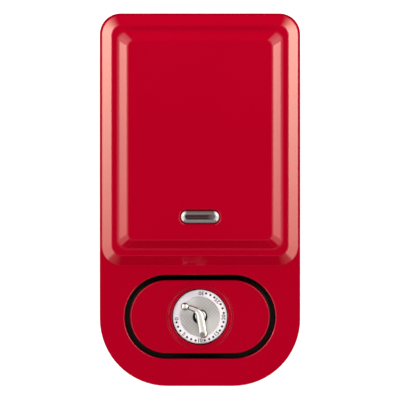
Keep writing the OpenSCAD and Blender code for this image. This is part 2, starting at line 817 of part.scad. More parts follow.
// Bushing that the supply cord enters through.
module cord_gland() {
    gland_y = rear_y - gland_pocket[1];
    body_d = gland_bore_d + 3;
    color(BLACK)
    translate([gland_x, gland_y, gland_z]) rotate([-90, 0, 0])
        difference() {
            union() {
                translate([0, 0, -wall - 2.4]) cylinder(d = body_d, h = wall + 2.6);
                translate([0, 0, 0.1]) cylinder(d1 = body_d + 5, d2 = body_d + 1, h = 6.2);
                translate([0, 0, -wall - 2.4]) cylinder(d = body_d + 3, h = 2.2);
            }
            translate([0, 0, -20]) cylinder(d = gland_bore_d, h = 40);
        }
}

// ---------------------------------------------------------------- leads

// Point and direction on a smooth curve through the points, at t from 0 to count - 1.
function spline(p, t) =
    let (n = len(p), i = min(floor(t), n - 2), u = t - i,
         a = p[max(i - 1, 0)], b = p[i], c = p[i + 1], d = p[min(i + 2, n - 1)])
    0.5 * (2 * b + (c - a) * u + (2 * a - 5 * b + 4 * c - d) * u * u
           + (3 * b - a - 3 * c + d) * u * u * u);

function unit(v) = v / norm(v);

// One ring of the tube at place t: side points round the curve.
function tube_ring(p, t, r, sides) =
    let (n = len(p) - 1, step = 0.02,
         along = unit(spline(p, min(t + step, n)) - spline(p, max(t - step, 0))),
         across = unit(cross(along, abs(along[1]) > 0.8 ? [1, 0, 0] : [0, 1, 0])),
         up = cross(across, along), at = spline(p, t))
    [for (k = [0:sides - 1]) at + r * (cos(360 * k / sides) * across
                                       + sin(360 * k / sides) * up)];

// A round lead along a list of points.
module lead(p, d, sides = 8, per_span = 3) {
    rings = (len(p) - 1) * per_span + 1;
    points = [for (i = [0:rings - 1]) each tube_ring(p, i / per_span, d / 2, sides)];
    walls = [for (i = [0:rings - 2], k = [0:sides - 1])
        let (a = i * sides + k, b = i * sides + (k + 1) % sides)
        each [[a, b, b + sides], [a, b + sides, a + sides]]];
    start = [[for (k = [sides - 1:-1:0]) k]];
    end = [[for (k = [0:sides - 1]) (rings - 1) * sides + k]];
    polyhedron(points, concat(walls, start, end));
}

module mains_leads() {
    color([0.9, 0.88, 0.8])
    for (route = LEADS) lead(route, lead_d);
}

// ---------------------------------------------------------------- latch keeper, pins

// Bent steel strip: screwed to the deck, down the base's front, with a lip.
module latch_keeper() {
    wall_y = base_front_y;
    lip_y = front_y + latch_t + latch_nose + fit;
    color(STEEL)
    difference() {
        along_x(-latch_w / 2 + 1, latch_w / 2 - 1) polygon([
            [lip_y, keeper_lip_z], [wall_y, keeper_lip_z], [wall_y, deck_z],
            [wall_y + keeper_flange, deck_z], [wall_y + keeper_flange, deck_z + keeper_t],
            [wall_y - keeper_t, deck_z + keeper_t], [wall_y - keeper_t, keeper_lip_z + keeper_t],
            [lip_y, keeper_lip_z + keeper_t]
        ]);
        keeper_holes(SMALL_SCREW[2] + 0.2);
    }
}

module keeper_screws() {
    color(STEEL)
    for (x = [-keeper_screw_x, keeper_screw_x])
        translate([x, base_front_y + keeper_screw_in, deck_z + keeper_t + 0.02])
            screw(SMALL_SCREW, wall + 2);
}

module hinge_pins() {
    color(STEEL)
    both_sides()
        translate([knuckle_inner_x - 1.5, hinge_y, hinge_z]) rotate([0, 90, 0])
            cylinder(d = pin_d, h = ear_outer_x - 2.6 - knuckle_inner_x + 1.5);
}

// ---------------------------------------------------------------- console and timer

module console_well() {
    translate([0, slot_y, 0]) {
        translate([0, 0, well_z]) cylinder(d = well_d, h = well_depth + OVER);
        translate([0, 0, console_z - 0.5])
            cylinder(d1 = well_d, d2 = well_d + 1.01, h = 0.51);
        translate([0, 0, console_z - 0.4]) difference() {
            cylinder(d = collar_d + 0.7, h = OVER);
            translate([0, 0, -OVER]) cylinder(d = collar_d - 0.7, h = 3 * OVER);
        }
    }
}

// Red island with the dial's well, a groove round it and a small pointer.
module timer_console() {
    boss_d = well_d + 2 * well_floor_t;
    pointer = [1.9, 1.1];
    color(RED)
    difference() {
        union() {
            translate([0, 0, console_foot_z]) linear_extrude(console_lip_t)
                console_plan(console_lip);
            translate([0, 0, console_foot_z]) linear_extrude(console_z - console_foot_z)
                console_plan();
            translate([-(well_d + collar_d) / 4, slot_y, console_z - OVER])
                linear_extrude(OVER + 0.35) polygon([
                    [-pointer[0] / 2, -pointer[1]], [pointer[0] / 2, 0],
                    [-pointer[0] / 2, pointer[1]]
                ]);
        }
        // hollow, up to the boss that carries the well
        translate([0, 0, console_foot_z - OVER])
            linear_extrude(well_z - well_floor_t - console_foot_z + OVER) console_plan(-wall);
        translate([0, 0, well_z - well_floor_t - OVER])
            linear_extrude(console_z - wall - well_z + well_floor_t + OVER) difference() {
                console_plan(-wall);
                translate([0, slot_y]) circle(d = boss_d);
            }
        console_well();
        translate([0, slot_y, well_z - 2 * well_floor_t])
            cylinder(d = arbor_d + 1.4, h = 3 * well_floor_t);
        timer_screw_holes(SMALL_SCREW[2] + 0.4);
        console_screw_holes(SMALL_SCREW[2] + 0.3);
    }
}

module timer_screw_holes(d) {
    for (x = [-timer_screw_x, timer_screw_x])
        translate([x, slot_y, move_top_z - 2 * move_plate_t])
            cylinder(d = d, h = well_floor_t + 3 * move_plate_t + fit);
}

module console_screws() {
    color(STEEL)
    for (x = [-1, 1], y = [-1, 1])
        translate([x * console_screw_x, slot_y + y * (island_l / 2 + console_lip / 2),
                   console_foot_z - 0.02])
            mirror([0, 0, 1]) screw(SMALL_SCREW, console_lip_t + fit + wall * 0.7);
}

module timer_screws() {
    color(STEEL)
    for (x = [-timer_screw_x, timer_screw_x])
        translate([x, slot_y, well_z + 0.02])
            screw(SMALL_SCREW, well_floor_t + fit + move_plate_t + 0.5);
}

module at_arbor(pos) {
    translate([pos[0], slot_y + pos[1], 0]) children();
}

// Holes for the three arbors in a plate of the movement.
module arbor_holes(main_d, z) {
    at_arbor([0, 0]) translate([0, 0, z]) cylinder(d = main_d + 2 * run, h = 4);
    for (pos = [second_pos, escape_pos])
        at_arbor(pos) translate([0, 0, z]) cylinder(d = small_pivot_d + 2 * run, h = 4);
}

module pillar_spots() {
    for (x = [-pillar_x, pillar_x], y = [-pillar_y, pillar_y])
        at_arbor([x, y]) children();
}

module movement_plate(top_z, main_d) {
    difference() {
        translate([0, slot_y, top_z - move_plate_t]) linear_extrude(move_plate_t)
            round_plan(move_w, move_l, move_r, move_r);
        arbor_holes(main_d, top_z - 3);
        pillar_spots() translate([0, 0, top_z - 3]) cylinder(d = 2.2 + 2 * run, h = 4);
    }
}

module timer_top_plate() {
    color(BRASS)
    difference() {
        movement_plate(move_top_z, arbor_d);
        timer_screw_holes(SMALL_SCREW[2] + 2 * run);
    }
}

module timer_bottom_plate() {
    color(BRASS)
    difference() {
        movement_plate(move_bottom_z, pivot_d);
        at_arbor([-12, 0]) translate([0, 0, move_bottom_z - 3]) cylinder(d = 2.6, h = 4);
    }
}

// Four turned pillars with pegs that pass through both plates, and the post that the
// mainspring's outer end hooks on.
module timer_pillars() {
    height = move_top_z - move_plate_t - move_bottom_z;
    post_d = 1.6;
    color(STEEL)
    pillar_spots() {
        translate([0, 0, move_bottom_z]) cylinder(d = 4, h = height);
        translate([0, 0, move_bottom_z - move_plate_t])
            cylinder(d = 2.2, h = height + 2 * move_plate_t - 0.1);
    }
    color(STEEL)
    at_arbor([-mainspring_r - spring_strip - post_d / 2 - 0.05, 0])
        translate([0, 0, move_bottom_z]) cylinder(d = post_d, h = 7);
}

// Involute function of an angle in degrees, in degrees.
function involute(a) = tan(a) * 180 / PI - a;

// Half the angle that a tooth takes up at radius r.
function half_tooth(teeth, m, r) =
    let (rp = teeth * m / 2, rb = rp * cos(pressure))
    90 / teeth - backlash / rp * 180 / PI / 2 + involute(pressure)
    - (r > rb ? involute(acos(rb / r)) : 0);

// Outline of a gear with one tooth centred on +X.
function gear_points(teeth, m) =
    let (rp = teeth * m / 2, rb = rp * cos(pressure), root = rp - 1.25 * m,
         tip = rp + 0.9 * m, start = max(root, rb), radii = [root, start, rp, tip])
    [for (i = [0:teeth - 1], side = [-1, 1], k = [0:3])
        let (r = side < 0 ? radii[k] : radii[3 - k],
             a = 360 * i / teeth + side * half_tooth(teeth, m, r))
        if (root < rb || k != (side < 0 ? 0 : 3)) r * [cos(a), sin(a)]];

module gear(teeth, m, h) {
    linear_extrude(h) polygon(gear_points(teeth, m));
}

// Wound flat spring between the main arbor and a pillar.
module mainspring() {
    turns = 4.5;
    inner_r = arbor_d / 2 + 0.1;
    steps = 18;
    count = turns * steps;
    function place(i, off) =
        let (r = inner_r + off + (mainspring_r - inner_r) * i / count, a = 360 * i / steps)
        [r * cos(a), r * sin(a)];
    color([0.35, 0.4, 0.5])
    at_arbor([0, 0]) translate([0, 0, move_bottom_z + 1.6]) linear_extrude(4.4) polygon(concat(
        [for (i = [0:count]) place(i, 0)], [for (i = [count:-1:0]) place(i, spring_strip)]
    ));
}

module timer_arbor() {
    foot_z = move_bottom_z - move_plate_t;
    top = dial_face_z + 3;
    color(STEEL)
    at_arbor([0, 0]) {
        translate([0, 0, move_bottom_z + 0.3]) cylinder(d = arbor_d, h = top - move_bottom_z - 0.3);
        translate([0, 0, foot_z]) cylinder(d = pivot_d, h = move_plate_t + 0.4);
    }
}

// Disc with a notch that lets the switch open at zero.
module switch_cam() {
    color(CERAMIC)
    at_arbor([0, 0]) translate([0, 0, cam_z]) difference() {
        cylinder(r = cam_r, h = 1.4);
        translate([0, 0, -OVER]) cylinder(d = arbor_d + 0.02, h = 4);
        translate([-cam_r, 0, -OVER]) cylinder(r = 2.6, h = 4);
    }
}

module main_wheel() {
    color(BRASS)
    at_arbor([0, 0]) translate([0, 0, main_wheel_z]) difference() {
        gear(wheel_teeth, module1, 1.4);
        translate([0, 0, -OVER]) cylinder(d = arbor_d + 0.02, h = 4);
        for (a = [36:72:359]) rotate(a) translate([8.2, 0, -OVER]) cylinder(d = 5.4, h = 4);
    }
}

// Arbor with a wheel and the pinion that drives it.
module geared_arbor(pinion_m, pinion_z, pinion_turn, wheel_z) {
    translate([0, 0, move_bottom_z + 0.2])
        cylinder(d = 2, h = move_top_z - move_plate_t - move_bottom_z - 0.4);
    translate([0, 0, move_bottom_z - move_plate_t + 0.1])
        cylinder(d = small_pivot_d, h = move_top_z - move_bottom_z + move_plate_t - 0.2);
    translate([0, 0, pinion_z - 0.6]) rotate(pinion_turn)
        gear(pinion_teeth, pinion_m, 2.6);
    translate([0, 0, wheel_z]) children();
}

module second_wheel() {
    half_pinion = 180 / pinion_teeth;
    color(BRASS)
    at_arbor(second_pos)
        geared_arbor(module1, main_wheel_z, half_pinion, second_wheel_z)
            rotate(escape_dir) gear(wheel_teeth, module2, 1.2);
}

module escape_wheel() {
    teeth = 15;
    tip_r = 6;
    root_r = 4.6;
    half_pinion = 180 / pinion_teeth;
    color(BRASS)
    at_arbor(escape_pos)
        geared_arbor(module2, second_wheel_z, escape_dir + half_pinion, escape_wheel_z)
            linear_extrude(1.1) polygon([for (i = [0:teeth - 1], tip = [0, 1])
                let (a = 360 * (i + tip * 0.12) / teeth, r = tip == 1 ? tip_r : root_r)
                r * [cos(a), sin(a)]]);
}

module switch_block() {
    color(BLACK)
    at_arbor([0, 0]) translate([switch_x, -6.5, cam_z - 2.4])
        cube([switch_block_w, 9, move_top_z - move_plate_t - 0.1 - cam_z + 2.4]);
}

// Spring leaf whose nose rides on the cam's rim.
module switch_leaf() {
    nose_r = 0.8;
    nose_x = -cam_r - nose_r - fit;
    color(BRASS)
    at_arbor([0, 0]) translate([0, 0, cam_z]) linear_extrude(1.2) {
        translate([leaf_x, -leaf_t / 2]) square([nose_x - leaf_x, leaf_t]);
        translate([nose_x, 0]) circle(nose_r, $fn = 24);
    }
}

module contact_leaf() {
    color(BRASS)
    at_arbor([0, 0]) translate([0, 0, cam_z]) linear_extrude(1.2) {
        translate([leaf_x, -3.2]) square([9, leaf_t]);
        translate([leaf_x + 8.5, -2.8]) circle(0.7, $fn = 24);
    }
}

// Dome of the bell, on a post under the movement.
module timer_bell() {
    color(STEEL)
    at_arbor([-12, 0]) {
        translate([0, 0, move_bottom_z - move_plate_t - 7]) cylinder(d = 2.4, h = 7.9);
        translate([0, 0, move_bottom_z - move_plate_t - 7.2]) rotate_extrude() polygon([
            [0, 0], [6, 0.2], [11, 1.6], [13.5, 4.6], [12.7, 4.6], [10.6, 2.3], [5.9, 1], [0, 0.8]
        ]);
    }
}

module timer_dial() {
    r = dial_d / 2;
    sunk_r = dial_face_d / 2;
    color(STEEL)
    at_arbor([0, 0]) difference() {
        rotate_extrude() polygon([
            [0, dial_z], [r, dial_z], [r, dial_top_z - 0.7], [r - 0.5, dial_top_z - 0.25],
            [sunk_r + 0.3, dial_top_z], [sunk_r, dial_face_z], [0, dial_face_z]
        ]);
        translate([0, 0, dial_z - OVER]) cylinder(d = arbor_d + 0.02, h = 2 * dial_t + OVER);
    }
}

// Chromed lever: a flared long arm and a thinner arm that ends in a ball.
module timer_lever() {
    arm_z = dial_face_z + 5.8;
    elbow = [0.2, 3.4, 0];
    tip = [2.3, -arm_reach, -0.2];
    ball = [ball_reach * cos(145), ball_reach * sin(145), -0.2];
    neck = elbow + 0.78 * (ball - elbow);
    color([0.85, 0.85, 0.86])
    at_arbor([0, 0]) difference() {
        union() {
            translate([0, 0, dial_face_z]) cylinder(d1 = hub_d, d2 = hub_d - 1.6, h = 4.4);
            translate([0, 0, arm_z]) {
                hull() {
                    translate(elbow) sphere(d = arm_d - 0.4, $fn = 24);
                    translate(tip) sphere(d = arm_d, $fn = 24);
                }
                hull() {
                    translate(elbow) sphere(d = arm_d - 1.2, $fn = 24);
                    translate(neck) sphere(d = thin_arm_d, $fn = 24);
                }
                hull() {
                    translate(neck) sphere(d = thin_arm_d, $fn = 24);
                    translate(ball) sphere(d = thin_arm_d - 0.3, $fn = 24);
                }
                translate(ball) sphere(d = ball_d, $fn = 24);
            }
        }
        translate([0, 0, dial_face_z - OVER]) cylinder(d = arbor_d + 0.02, h = OVER + 3.2);
    }
}

// ---------------------------------------------------------------- lid

panel_size = [body_w - 2 * panel_inset, panel_rear_y - panel_y];
ledge_size = panel_size - 2 * [bevel1, bevel1];
step2_size = ledge_size - 2 * [ledge_side, ledge_end];
face_size = step2_size - 2 * [bevel2_side, bevel2_end];
ledge_r = panel_r - bevel1 + 0.7;
step2_r = ledge_r - 1;
face_r = step2_r - 1.5;

// The raised panel as a solid, shrunk by inset on each side and set down by drop.
module raised_panel(inset, drop) {
    shrink = 2 * [inset, inset];
    translate([0, panel_mid_y, -drop]) {
        translate([0, 0, handle_z])
            taper(panel_size - shrink, panel_r - inset, ledge_size - shrink, ledge_r - inset / 2,
                  step1_h);
        translate([0, 0, step1_z])
            taper(step2_size - shrink, step2_r - inset / 2, face_size - shrink,
                  face_r - inset / 2, step2_h);
    }
}

module lamp_plan(grow) {
    translate([0, lamp_y]) stadium(bezel_w + 2 * grow, bezel_l + 2 * grow);
}

// Upper housing: skirt, loop handle and raised panel in one shell.
module lid_shell() {
    rib_x = latch_w / 2 + 0.8;
    rib_t = 3.2;
    color(RED)
    difference() {
        union() {
            difference() {
                union() {
                    translate([0, 0, lid_z]) linear_extrude(lid_h) body_plan();
                    raised_panel(0, 0);
                }
                translate([0, 0, lid_z - OVER]) linear_extrude(lid_h - wall + OVER)
                    difference() {
                        body_plan(wall);
                        slot_plan(wall);
                    }
                raised_panel(wall / 2, wall);
            }
            // ribs that carry the latch pin
            both_sides() translate([rib_x, front_y + wall / 2, latch_z - 5])
                cube([rib_t, 8, handle_z - wall / 2 - latch_z + 5]);
            // bosses for the handle cover and the inner frame
            handle_screw_spots() translate([0, 0, lid_z + cover_z_gap + cover_t + fit])
                cylinder(d = 7, h = lid_h - cover_z_gap - cover_t - fit - wall / 2);
            both_sides() translate([frame_screw_x, frame_screw_y, lid_z + frame_t + fit])
                cylinder(d = 6.8, h = lid_h - frame_t - fit);
            both_sides()
                translate([frame_rear_screw_x, frame_rear_screw_y, lid_z + frame_t + fit])
                    cylinder(d = 6.8, h = lid_h - frame_t - fit);
        }
        translate([0, 0, lid_z - OVER]) linear_extrude(lid_h + 2 * OVER) slot_plan();
        // hinge notch, open to the rear
        along_x(-body_w, body_w) {
            translate([hinge_y, hinge_z]) circle(barrel_cut);
            translate([hinge_y, hinge_z - barrel_cut])
                square([3 * hinge_inset, 2 * barrel_cut]);
        }
        // latch pocket in the front wall
        translate([-latch_w / 2 - latch_side, front_y - OVER, lid_z - OVER])
            cube([latch_w + 2 * latch_side, wall + 2 * OVER,
                  latch_z + latch_r + 0.4 - lid_z + OVER]);
        translate([-rib_x - rib_t, latch_y, latch_z]) rotate([0, 90, 0])
            cylinder(d = latch_pin_d + 2 * run, h = 2 * (rib_x + rib_t));
        // lamp recess and hole
        translate([0, 0, top_z - 0.9]) linear_extrude(2 * OVER) lamp_plan(1.2);
        translate([0, 0, top_z - 2 * wall]) linear_extrude(4 * wall) lamp_plan(-1.4);
        // pilot holes
        handle_screw_spots() translate([0, 0, lid_z]) cylinder(d = SMALL_SCREW[2] + 2 * run, h = 14);
        frame_screw_spots() translate([0, 0, lid_z]) cylinder(d = SMALL_SCREW[2] + 2 * run, h = 11);
    }
}

// Screws of the handle cover: two at the front corners, two beside the slot.
module handle_screw_spots() {
    both_sides() {
        translate([34, front_y + 12.5, 0]) children();
        translate([body_w / 2 - handle_side / 2, chamber_y - 8, 0]) children();
    }
}

// Black underside of the loop handle.
module handle_cover() {
    color(BLACK)
    difference() {
        translate([0, 0, lid_z + cover_z_gap]) linear_extrude(cover_t)
            between(front_y, chamber_y - fit) difference() {
                body_plan(wall + fit);
                slot_plan(wall + fit);
            }
        translate([-latch_w / 2 - latch_side, front_y, lid_z - OVER])
            cube([latch_w + 2 * latch_side, latch_t + 1.5, lid_h]);
        handle_screw_spots() {
            translate([0, 0, lid_z - OVER]) cylinder(d = SMALL_SCREW[2] + 0.3, h = 8);
            translate([0, 0, lid_z - OVER])
                cylinder(d = SMALL_SCREW[0] + 0.4, h = OVER + cover_z_gap + 1.3);
        }
    }
}

module handle_screws() {
    color(STEEL)
    handle_screw_spots() translate([0, 0, lid_z + cover_z_gap + 1.3])
        mirror([0, 0, 1]) screw(SMALL_SCREW, 8);
}

// Black heat-proof frame of the lid, with the two inner hinge knuckles.
module lid_frame() {
    color(BLACK)
    difference() {
        union() {
            in_lid() frame_plate(chamber_y);
            both_sides() in_lid() hinge_knuckle(knuckle_inner_x, knuckle_outer_x);
        }
        both_sides() barrel_bore(knuckle_inner_x - OVER, knuckle_outer_x + OVER);
    }
}

module lid_frame_screws() {
    color(STEEL) in_lid() frame_screws_low();
}

module upper_reflector() {
    color(TIN) in_lid() reflector();
}

module upper_heater() {
    color(STEEL) in_lid() heater();
}

module upper_heater_bushes() {
    color(CERAMIC) in_lid() heater_bushes();
}

module upper_plate() {
    color(COATING) in_lid() cast_plate();
}

module upper_catch() {
    color(BLACK) in_lid() plate_catch();
}

module upper_catch_spring() {
    color(STEEL) in_lid() catch_springs();
}

// Chromed ring of the pilot lamp, seated in the panel's recess.
module lamp_bezel() {
    color(STEEL)
    difference() {
        union() {
            translate([0, 0, top_z - 0.88]) linear_extrude(1) lamp_plan(0);
            translate([0, 0, top_z + 0.1]) linear_extrude(0.3) lamp_plan(-0.5);
            translate([0, 0, top_z - wall - 0.5]) linear_extrude(wall) lamp_plan(-1.5);
        }
        translate([0, 0, top_z - 3 * wall]) linear_extrude(6 * wall) lamp_plan(-2.3);
    }
}

module lamp_lens() {
    color([0.35, 0.3, 0.3])
    translate([0, 0, top_z - wall - 0.8]) linear_extrude(wall + 0.9) lamp_plan(-2.35);
}

// Socket under the lens that holds the neon lamp.
module lamp_holder() {
    depth = lamp_ceiling_z - lamp_floor_z + 1.2;
    ceiling = lamp_ceiling_z;
    color(BLACK)
    difference() {
        translate([0, 0, ceiling - depth]) linear_extrude(depth) lamp_plan(2.6);
        translate([0, 0, ceiling - depth + 1.2]) linear_extrude(depth) lamp_plan(0.6);
    }
}

module neon_lamp() {
    length = 18;
    bulb_d = 5.2;
    color([0.95, 0.55, 0.35])
    translate([2 - length / 2, lamp_y, lamp_floor_z + bulb_d / 2 + 0.15]) rotate([0, 90, 0]) {
        cylinder(d = bulb_d, h = length - 5);
        translate([0, 0, length - 5]) sphere(d = bulb_d);
        for (y = [-1, 1]) translate([0, y, -3]) cylinder(d = 0.6, h = 3.2);
    }
}

// Swinging latch: a round pivot end, a flat leaf, the nose under the keeper's lip,
// and a finger edge at the bottom.
module lid_latch() {
    face_y = front_y;
    back_y = face_y + latch_t;
    nose_top = keeper_lip_z - fit;
    color(BLACK)
    difference() {
        along_x(-latch_w / 2, latch_w / 2) {
            translate([latch_y, latch_z]) circle(latch_r);
            polygon([
                [face_y, latch_z], [face_y, nose_top - 4.4], [face_y + 1.6, nose_top - 6],
                [back_y, nose_top - 4.4], [back_y, nose_top - 2.2],
                [back_y + latch_nose, nose_top - 1.2], [back_y + latch_nose, nose_top],
                [back_y, nose_top], [back_y, latch_z]
            ]);
        }
        translate([-latch_w, latch_y, latch_z]) rotate([0, 90, 0])
            cylinder(d = latch_pin_d + 2 * run, h = 2 * latch_w);
    }
}

module latch_pin() {
    reach = latch_w / 2 + 3.6;
    color(STEEL)
    translate([-reach, latch_y, latch_z]) rotate([0, 90, 0])
        cylinder(d = latch_pin_d, h = 2 * reach);
}

// ---------------------------------------------------------------- nodes

base_shell();
bottom_cover();
cover_screws();
rubber_feet();
base_frame();
base_frame_screws();
lower_reflector();
lower_heater();
lower_heater_bushes();
lower_plate();
lower_catch();
lower_catch_spring();
thermal_cutout();
terminal_block();
cord_gland();
mains_leads();
latch_keeper();
keeper_screws();
hinge_pins();
timer_console();
console_screws();
timer_screws();
timer_top_plate();
timer_bottom_plate();
timer_pillars();
mainspring();
switch_block();
switch_leaf();
contact_leaf();
timer_bell();
timer_arbor();
switch_cam();
main_wheel();
second_wheel();
escape_wheel();
timer_dial();
timer_lever();
lid_shell();
handle_cover();
handle_screws();
lid_frame();
lid_frame_screws();
upper_reflector();
upper_heater();
upper_heater_bushes();
upper_plate();
upper_catch();
upper_catch_spring();
lamp_bezel();
lamp_lens();
lamp_holder();
neon_lamp();
lid_latch();
latch_pin();
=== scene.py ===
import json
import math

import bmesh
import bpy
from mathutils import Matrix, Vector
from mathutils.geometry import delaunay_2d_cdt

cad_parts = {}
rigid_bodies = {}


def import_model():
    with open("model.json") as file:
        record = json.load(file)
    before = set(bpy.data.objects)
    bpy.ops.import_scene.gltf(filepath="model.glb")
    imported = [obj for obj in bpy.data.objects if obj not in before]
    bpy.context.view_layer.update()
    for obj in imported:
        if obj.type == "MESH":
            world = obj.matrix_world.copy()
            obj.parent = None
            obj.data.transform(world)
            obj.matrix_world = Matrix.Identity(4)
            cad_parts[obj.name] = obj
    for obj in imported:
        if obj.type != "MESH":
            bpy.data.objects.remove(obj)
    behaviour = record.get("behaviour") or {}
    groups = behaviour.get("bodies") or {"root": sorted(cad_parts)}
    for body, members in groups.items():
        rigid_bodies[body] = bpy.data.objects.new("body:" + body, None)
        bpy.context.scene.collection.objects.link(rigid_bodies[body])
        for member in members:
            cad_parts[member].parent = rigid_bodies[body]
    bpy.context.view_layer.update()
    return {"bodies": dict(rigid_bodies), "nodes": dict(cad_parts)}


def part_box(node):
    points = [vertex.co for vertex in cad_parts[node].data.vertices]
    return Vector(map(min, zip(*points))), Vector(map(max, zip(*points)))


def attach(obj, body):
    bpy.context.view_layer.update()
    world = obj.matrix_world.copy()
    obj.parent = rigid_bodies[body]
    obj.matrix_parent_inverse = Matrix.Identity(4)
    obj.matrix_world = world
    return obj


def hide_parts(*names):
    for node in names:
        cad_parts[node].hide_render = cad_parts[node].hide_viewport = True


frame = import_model()

# %% [markdown]
# # A sandwich press with a wind-up timer
# The press is a red, glossy box with two hot plates inside. Its lid turns on two pins at
# the back, and the front of the lid is a loop handle round a long slot. A console that
# belongs to the base stands up through that slot and carries a clockwork timer.
# The frame above is the finished mechanism. This lesson dresses it: it draws the smooth
# outer shells, the fasteners, the springs and every finish. All places come from the
# frame, so nothing has to be fitted by eye.


def put_in_scene(name, data):
    obj = bpy.data.objects.new(name, data)
    bpy.context.scene.collection.objects.link(obj)
    return obj


def middle(lo, hi):
    """The middle of a box, as plain numbers."""
    return [(a + b) / 2 for a, b in zip(lo, hi)]


print("bodies:", ", ".join(frame["bodies"]), "- nodes:", len(frame["nodes"]))

# %% [markdown]
# ## Camera
# The press is looked at from straight above. A long lens from far away keeps the walls
# upright, as on a drawing. The lens is worked out from the width that has to fit at the
# height of the handle.

# %% The camera
VIEW_WIDTH, HANDLE_Z = 0.26708, 0.073
SENSOR = 36

camera = put_in_scene("camera", bpy.data.cameras.new("camera"))
camera.location = (0, -0.00023, 1.8)
camera.data.sensor_width = SENSOR
camera.data.lens = SENSOR * (camera.location.z - HANDLE_Z) / VIEW_WIDTH
camera.data.clip_end = 60
bpy.context.scene.camera = camera
print("lens", round(camera.data.lens, 1), "mm")

# %% [markdown]
# ## A workbench for node trees
# Finishes and Geometry Nodes are both trees of nodes. `Bench` puts a node on a tree, with
# its settings first and its inputs second. `Knob` is a socket that Python's operators work
# on, so `1 - mask` adds a Math node. Formulas then read as formulas.

# %% Bench and Knob
class Knob:
    """A value in a tree: an output socket that can be added, multiplied and compared."""

    def __init__(self, bench, socket):
        self.bench, self.socket = bench, socket

    def math(self, operation, *others):
        return self.bench.math(operation, self, *others)

    def other(self, name):
        return Knob(self.bench, self.socket.node.outputs[name])

    def __add__(self, x):
        return self.math("ADD", x)

    def __mul__(self, x):
        return self.math("MULTIPLY", x)

    def __sub__(self, x):
        return self.math("SUBTRACT", x)

    def __rsub__(self, x):
        return self.bench.math("SUBTRACT", x, self)

    def __truediv__(self, x):
        return self.math("DIVIDE", x)

    def __pow__(self, x):
        return self.math("POWER", x)

    __radd__, __rmul__ = __add__, __mul__

    def step(self, low, high):
        """0 below low, 1 above high, and a smooth way between them."""
        return self.bench.put("ShaderNodeMapRange", {"Value": self, "From Min": low,
                              "From Max": high}, interpolation_type="SMOOTHSTEP")

    def waves(self, gap):
        """A sine that repeats after a gap in millimetres."""
        return (self * (2000 * math.pi / gap)).math("SINE")


class Bench:
    """A node tree that nodes are put on."""

    def __init__(self, tree):
        self.tree = tree

    def put(self, kind, values=None, out=0, **settings):
        """Any node: its settings are set first, and then the values or links of its inputs."""
        node = self.tree.nodes.new(kind)
        for key, value in settings.items():
            if key == "stops":
                ramp = node.color_ramp
                while len(ramp.elements) < len(value):
                    ramp.elements.new(0.5)
                for element, (place, shade) in zip(ramp.elements, value):
                    element.position, element.color = place, shade
            else:
                setattr(node, key, value)
        for key, value in (values or {}).items():
            self.join(value, node.inputs[key])
        return Knob(self, node.outputs[out]) if len(node.outputs) else node

    def math(self, operation, *values):
        return self.put("ShaderNodeMath", dict(enumerate(values)), operation=operation)

    def join(self, value, socket):
        if isinstance(value, Knob):
            self.tree.links.new(value.socket, socket)
        else:
            socket.default_value = value

    def blend(self, share, first, second):
        """A colour between two, by a share from 0 to 1. Plain triples go from 0 to 255."""
        first, second = (colour(*c) if isinstance(c, tuple) and len(c) == 3 else c
                         for c in (first, second))
        return self.put("ShaderNodeMix", {0: share, 6: first, 7: second}, 2, data_type="RGBA")

    def noise(self, where, size, detail=2.0, stretch=None):
        """Noise whose features are about size millimetres wide."""
        if stretch:
            where = self.put("ShaderNodeVectorMath", {0: where, 1: stretch},
                             operation="MULTIPLY")
        return self.put("ShaderNodeTexNoise",
                        {"Vector": where, "Scale": 1000 / size, "Detail": detail})

    def parts(self, vector):
        x = self.put("ShaderNodeSeparateXYZ", {0: vector})
        return x, x.other("Y"), x.other("Z")


def colour(red, green, blue):
    """A colour written as on a screen, 0 to 255, turned into light."""
    def light(v):
        v = v / 255
        return v / 12.92 if v <= 0.04045 else ((v + 0.055) / 1.055) ** 2.4
    return (light(red), light(green), light(blue), 1.0)


print("half grey is", round(colour(128, 128, 128)[0], 3), "of white's light")

# %% [markdown]
# ## Finishes
# Each finish is one Principled shader. `mix_finish` sets what is the same everywhere on the
# shader's own sockets. What changes over the surface - colour, roughness and a bump whose
# depth is in millimetres - comes from a function, the skin, and is joined on afterwards.

# %% How a finish is mixed
finishes = {}
METAL = {"Metallic": 1.0}


def mix_finish(name, fixed, skin):
    """A material from fixed socket values and a function that returns the varying ones."""
    material = bpy.data.materials.new(name)
    material.use_nodes = True
    bench = Bench(material.node_tree)
    shader = material.node_tree.nodes["Principled BSDF"]
    for key, value in fixed.items():
        shader.inputs[key].default_value = value
    for key, value in skin(bench, bench.put("ShaderNodeTexCoord", out="Object")).items():
        if key == "Bump":
            height, depth = value
            value = bench.put("ShaderNodeBump", {"Height": height, "Distance": depth / 1000})
            key = "Normal"
        bench.join(value, shader.inputs[key])
    finishes[name] = material


print("a metal is a finish with", METAL)


# %% [markdown]
# The shells are moulded in red ABS and polished. Such a skin is never perfectly flat: it
# has a faint waviness, a little rubbing dust in its roughness and a tone that drifts by a
# per cent or two. The coat layer gives the second, clear reflection of the polish. The
# black mouldings are cheaper: grained in the mould, and worn smoother here and there.

# %% Red gloss and the black mouldings
def red_skin(b, where):
    wave = b.noise(where, 16, 1.0)
    pores = b.noise(where, 0.9)
    rub = b.noise(where, 5, 4.0, (1, 0.3, 1))
    return {"Base Color": b.blend(b.noise(where, 70), (176, 0, 31), (184, 2, 37)),
            "Roughness": 0.03 + rub * 0.05, "Bump": (wave * 0.9 + pores * 0.02, 0.05)}


